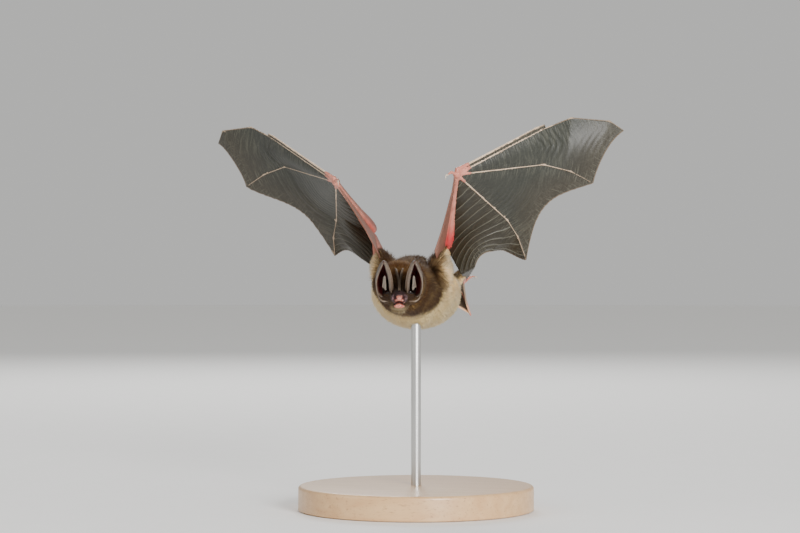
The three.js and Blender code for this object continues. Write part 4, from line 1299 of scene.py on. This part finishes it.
# %% Stand
BASE_RADIUS, BASE_THICKNESS, BASE_CHAMFER = 38.0, 8.0, 1.0
ROD_RADIUS, ROD_TOP, ROD_CHAMFER = 1.6, 62.6, 0.4


def turned_form(stops, sides):
    """A closed lathe form from (radius, height) stops between its two ends on the axis."""
    radii, heights = np.array(stops).T
    path = np.stack([0 * heights, 0 * heights, heights], -1)
    return sweep(path, radii, radii, sides, (0, 1, 0))


def stand_piece(name, stops, sides, node_name):
    points, faces = turned_form([(0, stops[0][1]), *stops, (0, stops[-1][1])], sides)
    made = new_object(name, points * MM, faces)
    made.data.set_sharp_from_angle(angle=math.radians(35))
    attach(made, "root")
    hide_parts(node_name)
    return made


def arc_stops(centre, radius, start, end):
    angles = np.radians(np.linspace(start, end, 7))
    return [(centre[0] + radius * math.cos(a), centre[1] + radius * math.sin(a)) for a in angles]


rim = BASE_RADIUS - BASE_CHAMFER
shoulder = BASE_THICKNESS - BASE_CHAMFER
base_stops = [(rim, 0.0), (BASE_RADIUS, BASE_CHAMFER * 0.4), (BASE_RADIUS, shoulder)]
base_stops += arc_stops((rim, shoulder), BASE_CHAMFER, 10, 90)
stand_base = stand_piece("display_base", base_stops, 160, "stand_base")
rod_stops = [(ROD_RADIUS, BASE_THICKNESS), (ROD_RADIUS, ROD_TOP - ROD_CHAMFER)]
rod_stops.append((ROD_RADIUS - ROD_CHAMFER, ROD_TOP))
stand_rod = stand_piece("display_rod", rod_stops, 48, "stand_rod")
print("stand: base", 2 * BASE_RADIUS, "mm across, rod", 2 * ROD_RADIUS, "mm across")

# %% [markdown]
# ## Materials
# Every finish starts from what the real thing is. One function adds a node with its settings and
# links, and one turns the sRGB colours that are read off a swatch into the linear ones of a shader.
# A pattern's scale is one over the size of its features.

# %% Node helper and colours
def linear(code):
    """An sRGB hex colour as linear red, green, blue and alpha."""
    parts = [int(code[i : i + 2], 16) / 255 for i in (1, 3, 5)]
    return [c / 12.92 if c <= 0.04045 else ((c + 0.055) / 1.055) ** 2.4 for c in parts] + [1.0]


def add(tree, kind, inputs=(), output=0, **settings):
    """A new node with its settings. Its inputs take values, or outputs of other nodes."""
    made = tree.nodes.new(kind)
    for name, value in settings.items():
        setattr(made, name, value)
    for name, value in dict(inputs).items():
        if isinstance(value, bpy.types.NodeSocket):
            tree.links.new(value, made.inputs[name])
        else:
            made.inputs[name].default_value = value
    return made.outputs[output] if made.outputs else made


def new_material(name, marks):
    """A material with an empty tree, the place in the object, and the marks that it reads."""
    made = bpy.data.materials.new(name)
    made.use_nodes = True
    tree = made.node_tree
    tree.nodes.clear()
    place = add(tree, "ShaderNodeTexCoord", output="Object")
    marks_in = [add(tree, "ShaderNodeAttribute", output="Fac", attribute_name=mark) for mark in marks]
    print("material", name, "reads the marks", marks)
    return made, tree, place, marks_in


COLOUR = {"output": 2, "data_type": "RGBA"}

# %% [markdown]
# ### Fur
# A hair has a dark root and a paler tip. On the back the tips are straw, on the belly cream, with a
# golden brow and warmer flanks. Hair is keratin in fine overlapping scales, so it is fairly matt,
# and its highlight is halved because the hairs of one lock shade each other.

# %% Fur of the coat
FUR_PATCH, HAIR_STREAK = 8 * MM, 1.1 * MM

# The colours of a hair's root, shaft and tip.
BACK = ("#140903", "#4A2F16", "#B4935C")
BELLY = ("#A88A50", "#EED8A0", "#FFF6DC")
GOLDEN, WARM_FLANK = "#6A4010", "#F0C684"

fur, tree, place, marks_in = new_material("fur_of_fine_hair", ["up_lock", "tone", "back", "warm"])
up_lock, tone_in, back_in, warm_in = marks_in
patches = add(tree, "ShaderNodeTexNoise", {"Vector": place, "Scale": 1 / FUR_PATCH, "Detail": 3.0})
above_root = add(tree, "ShaderNodeMapRange", {0: up_lock, 1: 0.0, 2: 0.55})
near_tip = add(tree, "ShaderNodeMapRange", {0: up_lock, 1: 0.4, 2: 0.95})
lightness = add(tree, "ShaderNodeMath", {0: tone_in, 1: patches}, operation="ADD")
back_straw = add(tree, "ShaderNodeMapRange", {0: lightness, 1: 0.92, 2: 1.45})
belly_cream = add(tree, "ShaderNodeMapRange", {0: lightness, 1: 0.6, 2: 1.2})
coats = []
for (low, middle, tip), warmed, lit in ((BACK, GOLDEN, back_straw), (BELLY, WARM_FLANK, belly_cream)):
    tinted = add(tree, "ShaderNodeMix", {0: warm_in, 6: linear(middle), 7: linear(warmed)}, **COLOUR)
    shaft = add(tree, "ShaderNodeMix", {0: above_root, 6: linear(low), 7: tinted}, **COLOUR)
    amount = add(tree, "ShaderNodeMath", {0: near_tip, 1: lit}, operation="MULTIPLY")
    coats.append(add(tree, "ShaderNodeMix", {0: amount, 6: shaft, 7: linear(tip)}, **COLOUR))
coloured = add(tree, "ShaderNodeMix", {0: back_in, 6: coats[1], 7: coats[0]}, **COLOUR)
hair = {"Base Color": coloured, "Roughness": 0.6, "Specular IOR Level": 0.25}
add(tree, "ShaderNodeOutputMaterial", {0: add(tree, "ShaderNodeBsdfPrincipled", hair)})
for piece in coat:
    piece.data.materials.append(fur)

# %% [markdown]
# ### Skin under the coat
# It shows between the locks and on the muzzle. Its marks are the same as the coat's, so a parting
# never shows a wrong colour. The nose, lips and chin are moist and salmon pink, and the swellings
# beside the nose greyish mauve. The hollows round the eyes and the bridge get a wine-dark painted
# shade, and the mouth's parting and the nostrils a nearly black painted shade. The pores make the
# bare parts sparkle a little, and the rest stays matt.

# %% Skin under the coat
PORE = 0.5 * MM

under, tree, place, marks_in = new_material(
    "skin_under_the_coat", ["back", "pink", "slit_shade", "mauve", "bald_and_shaded"]
)
back_in, pink_in, slit_shade_in, mauve_in, bald_and_shaded_in = marks_in
streaks = add(tree, "ShaderNodeTexNoise", {"Vector": place, "Scale": 1 / HAIR_STREAK, "Detail": 4.0})
pores = add(tree, "ShaderNodeTexNoise", {"Vector": place, "Scale": 1 / PORE, "Detail": 5.0})
coats = []
for low, high in (("#A88A52", "#E6D09A"), ("#0E0703", "#2C1A0A")):
    coats.append(add(tree, "ShaderNodeMix", {0: streaks, 6: linear(low), 7: linear(high)}, **COLOUR))
colour = add(tree, "ShaderNodeMix", {0: back_in, 6: coats[0], 7: coats[1]}, **COLOUR)
pores_in_light = add(tree, "ShaderNodeMapRange", {0: pores, 1: 0.35, 2: 0.65})
# Painted shade: the bare hollows at the ears' roots and the bridge are darkened wine-red first, and the
# mauve and the pink are laid over it.
layers = (
    (bald_and_shaded_in, "#100405", "#30100F"),
    (mauve_in, "#1C1012", "#6E5052"),
    (pink_in, "#8A4034", "#CC8470"),
)
for share, low, high in layers:
    mottled = add(tree, "ShaderNodeMix", {0: pores_in_light, 6: linear(low), 7: linear(high)}, **COLOUR)
    colour = add(tree, "ShaderNodeMix", {0: share, 6: colour, 7: mottled}, **COLOUR)
# Painted shade: the mouth's parting and the nostrils are darkened nearly black.
colour = add(tree, "ShaderNodeMix", {0: slit_shade_in, 6: colour, 7: linear("#2C0405")}, **COLOUR)
dullness = add(tree, "ShaderNodeMapRange", {0: pink_in, 3: 0.75, 4: 0.4})
bump = add(tree, "ShaderNodeBump", {"Height": pores, "Strength": 0.6, "Distance": 0.1 * MM})
flesh = {"Base Color": colour, "Roughness": dullness, "Normal": bump}
add(tree, "ShaderNodeOutputMaterial", {0: add(tree, "ShaderNodeBsdfPrincipled", flesh)})

# %% [markdown]
# ### Bare skin over bone
# Forearms, feet and tail are covered by thin pink skin, reddest near the elbow, where blood shows
# through, and brown on the backs of the arms and legs. Over the fingers it is drawn tight and looks
# cream by the wrist, and browner towards the tips.

# %% Bare skin and finger skin
MOTTLE, CREASE = 2.8 * MM, 0.6 * MM

bare_skin, tree, place, (blush_in, dusky_in) = new_material("thin_pink_skin", ["blush", "dusky"])
mottle = add(tree, "ShaderNodeTexNoise", {"Vector": place, "Scale": 1 / MOTTLE, "Detail": 4.0})
creases = add(tree, "ShaderNodeTexNoise", {"Vector": place, "Scale": 1 / CREASE, "Detail": 5.0})
pink = add(tree, "ShaderNodeMix", {0: mottle, 6: linear("#9C5444"), 7: linear("#DC9480")}, **COLOUR)
blush = add(tree, "ShaderNodeMix", {0: blush_in, 6: pink, 7: linear("#C8303A")}, **COLOUR)
dark_back = add(tree, "ShaderNodeMath", {0: dusky_in, 1: 0.75}, operation="MULTIPLY")
blush = add(tree, "ShaderNodeMix", {0: dark_back, 6: blush, 7: linear("#54392C")}, **COLOUR)
bump = add(tree, "ShaderNodeBump", {"Height": creases, "Strength": 0.5, "Distance": 0.12 * MM})
flesh = {"Base Color": blush, "Roughness": 0.45, "Normal": bump}
add(tree, "ShaderNodeOutputMaterial", {0: add(tree, "ShaderNodeBsdfPrincipled", flesh)})

finger_skin, tree, place, (reach_in,) = new_material("cream_skin_over_finger_bone", ["reach"])
mottle = add(tree, "ShaderNodeTexNoise", {"Vector": place, "Scale": 1 / MOTTLE, "Detail": 4.0})
cream = add(tree, "ShaderNodeMix", {0: mottle, 6: linear("#A88A70"), 7: linear("#DEC8AC")}, **COLOUR)
far = add(tree, "ShaderNodeMapRange", {0: reach_in, 1: 25.0, 2: 60.0, 4: 0.75})
browner = add(tree, "ShaderNodeMix", {0: far, 6: cream, 7: linear("#5E4E3C")}, **COLOUR)
bump = add(tree, "ShaderNodeBump", {"Height": mottle, "Strength": 0.3, "Distance": 0.1 * MM})
flesh = {"Base Color": browner, "Roughness": 0.5, "Normal": bump}
add(tree, "ShaderNodeOutputMaterial", {0: add(tree, "ShaderNodeBsdfPrincipled", flesh)})

# %% [markdown]
# ### Wing membrane
# Two layers of skin with elastic fibres and vessels between them. The hand's skin is grey-brown with
# faint fibres in arcs about the wrist, the flank's is olive-brown with pale bands like the rungs of
# a ladder, the skin before the arm is pinkish brown, and the tail's is brown with a peach hem. Short
# creases run in from every free edge and stand beside the fingers. The fibres are a few tenths of a
# millimetre apart on a real wing and are drawn about three times as coarse. A little light goes
# through.

# %% Wing membrane
FIBRE_PITCH, HATCH_PITCH = 1.1, 0.85
EDGE_HATCH_SHARE = 0.039  # the pitch of the creases at a free edge, as a share of the panel's width
NOISE_STEP = 1.7  # how far apart the features of a noise of scale 1 lie
CLOUD, WANDER, WRINKLE = 14 * MM, 9 * MM, 0.6 * MM
LIGHT_THROUGH = 0.12

web, tree, place, marks_in = new_material(
    "wing_skin_with_elastic_fibres", ["panel", "across", "reach", "edge", "along", "gap"]
)
panel_in, across_in, reach_in, edge_in, along_in, gap_in = marks_in
on_panel = {
    panel: add(tree, "ShaderNodeMath", {0: panel_in, 1: float(panel), 2: 0.4}, operation="COMPARE")
    for panel in (FLANK_PANEL, LEADING, TAIL_PANEL)
}
cloud = add(tree, "ShaderNodeTexNoise", {"Vector": place, "Scale": 1 / CLOUD, "Detail": 5.0})
wander = add(tree, "ShaderNodeTexNoise", {"Vector": place, "Scale": 1 / WANDER, "Detail": 3.0})
wrinkles = add(tree, "ShaderNodeTexNoise", {"Vector": place, "Scale": 1 / WRINKLE, "Detail": 4.0})


def broken_lines(turned, pitch, other, length):
    """Lines of irregular strength: they lie a pitch apart, and each runs on for about a length."""
    line_place = add(tree, "ShaderNodeCombineXYZ", {0: turned, 1: other})
    size = (NOISE_STEP / pitch, NOISE_STEP / length, 0.0)
    line_place = add(tree, "ShaderNodeVectorMath", {0: line_place, 1: size}, operation="MULTIPLY")
    line = add(tree, "ShaderNodeTexNoise", {"Vector": line_place, "Scale": 1.0, "Detail": 2.0})
    return add(tree, "ShaderNodeMapRange", {0: line, 1: 0.5, 2: 0.64})


# Faint arcs about the wrist, and short hatches beside the fingers.
wandering = add(tree, "ShaderNodeMath", {0: wander, 1: 4.0, 2: along_in}, operation="MULTIPLY_ADD")
arc_share = add(tree, "ShaderNodeMapRange", {0: cloud, 1: 0.38, 2: 0.62, 3: 0.1, 4: 0.55})
arcs = broken_lines(wandering, FIBRE_PITCH, across_in, 0.9)
arcs = add(tree, "ShaderNodeMath", {0: arcs, 1: arc_share}, operation="MULTIPLY")
near_finger = add(tree, "ShaderNodeMapRange", {0: gap_in, 1: 4.5, 2: 1.0, 4: 0.8})
finger_hatches = broken_lines(along_in, HATCH_PITCH, gap_in, 7.0)
finger_hatches = add(tree, "ShaderNodeMath", {0: finger_hatches, 1: near_finger}, operation="MULTIPLY")

# The rungs on the flank, at the same places as the ridges of its mesh. The wander shifts them by a
# sixth of a rung on average, so they stand at two thirds and not at a half.
rung = add(tree, "ShaderNodeMath", {0: wander, 1: 0.35, 2: reach_in}, operation="MULTIPLY_ADD")
rung = add(tree, "ShaderNodeMath", {0: rung}, operation="FRACT")
from_rung = add(tree, "ShaderNodeMath", {0: rung, 1: 0.67}, operation="SUBTRACT")
from_rung = add(tree, "ShaderNodeMath", {0: from_rung}, operation="ABSOLUTE")
ladder = add(tree, "ShaderNodeMapRange", {0: from_rung, 1: 0.09, 2: 0.02, 4: 1.6})

# Short creases that run in from the free edge.
near_edge = add(tree, "ShaderNodeMapRange", {0: edge_in, 1: 6.0, 2: 1.5, 4: 0.8})
edge_hatches = broken_lines(across_in, EDGE_HATCH_SHARE, edge_in, 5.0)
edge_hatches = add(tree, "ShaderNodeMath", {0: edge_hatches, 1: near_edge}, operation="MULTIPLY")

lines = add(tree, "ShaderNodeMix", {0: on_panel[FLANK_PANEL], 2: arcs, 3: ladder})
lines = add(tree, "ShaderNodeMath", {0: lines, 1: edge_hatches}, operation="MAXIMUM")
lines = add(tree, "ShaderNodeMath", {0: lines, 1: finger_hatches}, operation="MAXIMUM")
relief = add(tree, "ShaderNodeMath", {0: wrinkles, 1: 0.6, 2: lines}, operation="MULTIPLY_ADD")

colour = add(tree, "ShaderNodeMix", {0: cloud, 6: linear("#10110F"), 7: linear("#2C2F29")}, **COLOUR)
thinner = add(tree, "ShaderNodeMapRange", {0: edge_in, 1: 16.0, 2: 3.0, 4: 0.5})
colour = add(tree, "ShaderNodeMix", {0: thinner, 6: colour, 7: linear("#34291C")}, **COLOUR)
panel_colours = {
    FLANK_PANEL: ("#0F0B04", "#271D0A"),
    LEADING: ("#54332A", "#9A6856"),
    TAIL_PANEL: ("#2E2218", "#64503C"),
}
for panel, (low, high) in panel_colours.items():
    ground = add(tree, "ShaderNodeMix", {0: cloud, 6: linear(low), 7: linear(high)}, **COLOUR)
    colour = add(tree, "ShaderNodeMix", {0: on_panel[panel], 6: colour, 7: ground}, **COLOUR)
line_share = add(tree, "ShaderNodeMapRange", {0: on_panel[LEADING], 3: 0.2, 4: 0.06})
line_share = add(tree, "ShaderNodeMath", {0: relief, 1: line_share}, operation="MULTIPLY")
colour = add(tree, "ShaderNodeMix", {0: line_share, 6: colour, 7: linear("#8C8A7A")}, **COLOUR)
hem = add(tree, "ShaderNodeMapRange", {0: edge_in, 1: 0.45, 2: 0.15, 4: 0.3})
colour = add(tree, "ShaderNodeMix", {0: hem, 6: colour, 7: linear("#C4A68A")}, **COLOUR)
tail_hem = add(tree, "ShaderNodeMapRange", {0: edge_in, 1: 1.7, 2: 0.7})
tail_hem = add(tree, "ShaderNodeMath", {0: tail_hem, 1: on_panel[TAIL_PANEL]}, operation="MULTIPLY")
colour = add(tree, "ShaderNodeMix", {0: tail_hem, 6: colour, 7: linear("#EDBE96")}, **COLOUR)

bump = add(tree, "ShaderNodeBump", {"Height": relief, "Strength": 0.8, "Distance": 0.08 * MM})
satin = {"Base Color": colour, "Roughness": 0.45, "Specular IOR Level": 0.4, "Normal": bump}
surface = add(tree, "ShaderNodeBsdfPrincipled", satin)
through = add(tree, "ShaderNodeBsdfTranslucent", {"Color": colour, "Normal": bump})
both = add(tree, "ShaderNodeMixShader", {0: LIGHT_THROUGH, 1: surface, 2: through})
add(tree, "ShaderNodeOutputMaterial", {0: both})

# %% [markdown]
# ### Ear skin
# Grey-brown and satin outside, wine-dark inside where the light hardly reaches, paler along the thick
# margins, and palest on the tragus. Fine streaks run along the ear.

# %% Ear skin
STREAK_ACROSS, STREAK_ALONG = 0.45 * MM, 5 * MM

ear_skin, tree, place, (shaded_inside_in, pale_in) = new_material("thin_folded_ear_skin", ["inside", "pale"])
stretch = (1 / STREAK_ACROSS, 1 / STREAK_ALONG, 1 / STREAK_ACROSS)
drawn_out = add(tree, "ShaderNodeVectorMath", {0: place, 1: stretch}, operation="MULTIPLY")
streaks = add(tree, "ShaderNodeTexNoise", {"Vector": drawn_out, "Scale": 1.0, "Detail": 4.0})
colour = add(tree, "ShaderNodeMix", {0: streaks, 6: linear("#2C211A"), 7: linear("#66564A")}, **COLOUR)
margin = add(tree, "ShaderNodeMapRange", {0: pale_in, 1: 0.0, 2: 0.5})
spear = add(tree, "ShaderNodeMapRange", {0: pale_in, 1: 0.6, 2: 1.0})
# The inside of the ear is darkened wine-red as painted shade, where little light reaches.
layers = (
    (shaded_inside_in, "#2C0A0C", "#6E2628"),
    (margin, "#241A14", "#8A7662"),
    (spear, "#8E8478", "#CFC8BC"),
)
for share, low, high in layers:
    streaked = add(tree, "ShaderNodeMix", {0: streaks, 6: linear(low), 7: linear(high)}, **COLOUR)
    colour = add(tree, "ShaderNodeMix", {0: share, 6: colour, 7: streaked}, **COLOUR)
bump = add(tree, "ShaderNodeBump", {"Height": streaks, "Strength": 0.7, "Distance": 0.15 * MM})
flesh = {"Base Color": colour, "Roughness": 0.48, "Normal": bump}
add(tree, "ShaderNodeOutputMaterial", {0: add(tree, "ShaderNodeBsdfPrincipled", flesh)})
skin_mesh.materials.clear()
for finish in (under, bare_skin, finger_skin, web, ear_skin):
    skin_mesh.materials.append(finish)
skin_mesh.polygons.foreach_set("material_index", face_kind)
print("faces of each skin:", np.bincount(face_kind).tolist())

# %% [markdown]
# ### Eyes and claws
# The eye is wet and nearly black, so all that one sees of it is a small sharp highlight. Claws are
# horn, streaked along their length and smooth enough to shine.

# %% Eyes and claws
IRIS_SPOT, HORN_STREAK = 1.4 * MM, 1.1 * MM

eye, tree, place, _ = new_material("wet_black_eye", [])
depth = add(tree, "ShaderNodeTexNoise", {"Vector": place, "Scale": 1 / IRIS_SPOT})
iris = add(tree, "ShaderNodeMix", {0: depth, 6: linear("#050303"), 7: linear("#1C0F09")}, **COLOUR)
wet = {"Base Color": iris, "Roughness": 0.1, "IOR": 1.38}
add(tree, "ShaderNodeOutputMaterial", {0: add(tree, "ShaderNodeBsdfPrincipled", wet)})
for ball in eyes:
    ball.data.materials.append(eye)

horn, tree, place, _ = new_material("pale_horn", [])
streaks = add(tree, "ShaderNodeTexNoise", {"Vector": place, "Scale": 1 / HORN_STREAK, "Detail": 3.0})
colour = add(tree, "ShaderNodeMix", {0: streaks, 6: linear("#8E7B66"), 7: linear("#E4D6C0")}, **COLOUR)
keratin = {"Base Color": colour, "Roughness": 0.35, "IOR": 1.54}
add(tree, "ShaderNodeOutputMaterial", {0: add(tree, "ShaderNodeBsdfPrincipled", keratin)})
claws.data.materials.append(horn)

# %% [markdown]
# ### Stand
# The base is beech, pale with rings a few millimetres wide and rays that show as short dark flecks,
# turned and finished with a satin lacquer that gives soft reflections. The rod is bright steel
# drawn through a die, so fine lines run along it and stretch its highlight.

# %% Beech and steel
RING, FLECK_ACROSS, FLECK_ALONG, DIE_LINE = 2.6 * MM, 0.5 * MM, 2.4 * MM, 0.2 * MM
GRAIN_STRETCH, DIE_STRETCH = 0.08, 0.03

beech, tree, place, _ = new_material("turned_beech_satin_lacquer", [])
ring_size = (GRAIN_STRETCH / RING, 1 / RING, 1 / RING)
board = add(tree, "ShaderNodeVectorMath", {0: place, 1: ring_size}, operation="MULTIPLY")
waves = {"Vector": board, "Scale": 1.0, "Detail": 6.0, "Distortion": 0.4}
grain = add(tree, "ShaderNodeTexNoise", waves)
fleck_size = (1 / FLECK_ALONG, 1 / FLECK_ACROSS, 1 / FLECK_ACROSS)
fleck_place = add(tree, "ShaderNodeVectorMath", {0: place, 1: fleck_size}, operation="MULTIPLY")
flecks = add(tree, "ShaderNodeTexNoise", {"Vector": fleck_place, "Scale": 1.0, "Detail": 2.0})
flecks = add(tree, "ShaderNodeMapRange", {0: flecks, 1: 0.6, 2: 0.72, 4: 0.55})
wood = add(tree, "ShaderNodeMix", {0: grain, 6: linear("#B98B5C"), 7: linear("#D9B586")}, **COLOUR)
wood = add(tree, "ShaderNodeMix", {0: flecks, 6: wood, 7: linear("#8E6440")}, **COLOUR)
bump = add(tree, "ShaderNodeBump", {"Height": grain, "Strength": 0.15, "Distance": 0.2 * MM})
lacquered = {"Base Color": wood, "Roughness": 0.38, "IOR": 1.5, "Normal": bump}
lacquered |= {"Coat Weight": 0.25, "Coat Roughness": 0.2}
surface = add(tree, "ShaderNodeBsdfPrincipled", lacquered)
add(tree, "ShaderNodeOutputMaterial", {0: surface})
stand_base.data.materials.append(beech)

steel, tree, place, _ = new_material("drawn_bright_steel", [])
drawn = add(tree, "ShaderNodeVectorMath", {0: place, 1: (1.0, 1.0, DIE_STRETCH)}, operation="MULTIPLY")
die_lines = add(tree, "ShaderNodeTexNoise", {"Vector": drawn, "Scale": 1 / DIE_LINE, "Detail": 3.0})
dullness = add(tree, "ShaderNodeMapRange", {0: die_lines, 3: 0.22, 4: 0.4})
bright = {"Base Color": linear("#C8C8C6"), "Metallic": 1.0, "Roughness": dullness}
add(tree, "ShaderNodeOutputMaterial", {0: add(tree, "ShaderNodeBsdfPrincipled", bright)})
stand_rod.data.materials.append(steel)

# %% [markdown]
# ## Floor and light
# A plain pale floor and a pale world, one strong light ahead on the viewer's right, a weak and wider
# one on the left, and one from behind that picks out the edge of the fur.

# %% Floor and light
FLOOR_RADIUS, FLOOR_THICKNESS, FLOOR_CLOUD = 4000, 0.4, 17 * MM
WORLD_STRENGTH = 0.7

floor_stops = [(0, -FLOOR_THICKNESS), (FLOOR_RADIUS, -FLOOR_THICKNESS), (FLOOR_RADIUS, 0.0), (0, 0.0)]
floor_points, floor_faces = turned_form(floor_stops, 64)
floor = new_object("floor", floor_points * MM, floor_faces, smooth=False)
paper, tree, place, _ = new_material("pale_paper_floor", [])
fibres = add(tree, "ShaderNodeTexNoise", {"Vector": place, "Scale": 1 / FLOOR_CLOUD, "Detail": 4.0})
colour = add(tree, "ShaderNodeMix", {0: fibres, 6: linear("#F8F7F5"), 7: linear("#FCFBF9")}, **COLOUR)
sheet = add(tree, "ShaderNodeBsdfPrincipled", {"Base Color": colour, "Roughness": 0.9})
add(tree, "ShaderNodeOutputMaterial", {0: sheet})
floor.data.materials.append(paper)

world = bpy.data.worlds.new("studio")
world.use_nodes = True
background = world.node_tree.nodes["Background"]
background.inputs[0].default_value = linear("#E6E6E4")
background.inputs[1].default_value = WORLD_STRENGTH
bpy.context.scene.world = world


def soft_light(name, place, size, power):
    """A round area light that faces the bat."""
    lamp = bpy.data.lights.new(name, "AREA")
    lamp.shape, lamp.size, lamp.energy = "DISK", size, power
    made = bpy.data.objects.new(name, lamp)
    bpy.context.collection.objects.link(made)
    made.location = place
    ahead = Vector((0, 0, BODY_HEIGHT * MM)) - Vector(place)
    made.rotation_euler = ahead.to_track_quat("-Z", "Y").to_euler()
    print(name, "light:", power, "watts")


soft_light("key", (0.6, -0.85, 0.3), 0.35, 17.0)
soft_light("fill", (-0.8, -0.6, 0.5), 0.6, 2.0)
soft_light("rim", (-0.3, 0.9, 0.7), 0.5, 6.0)
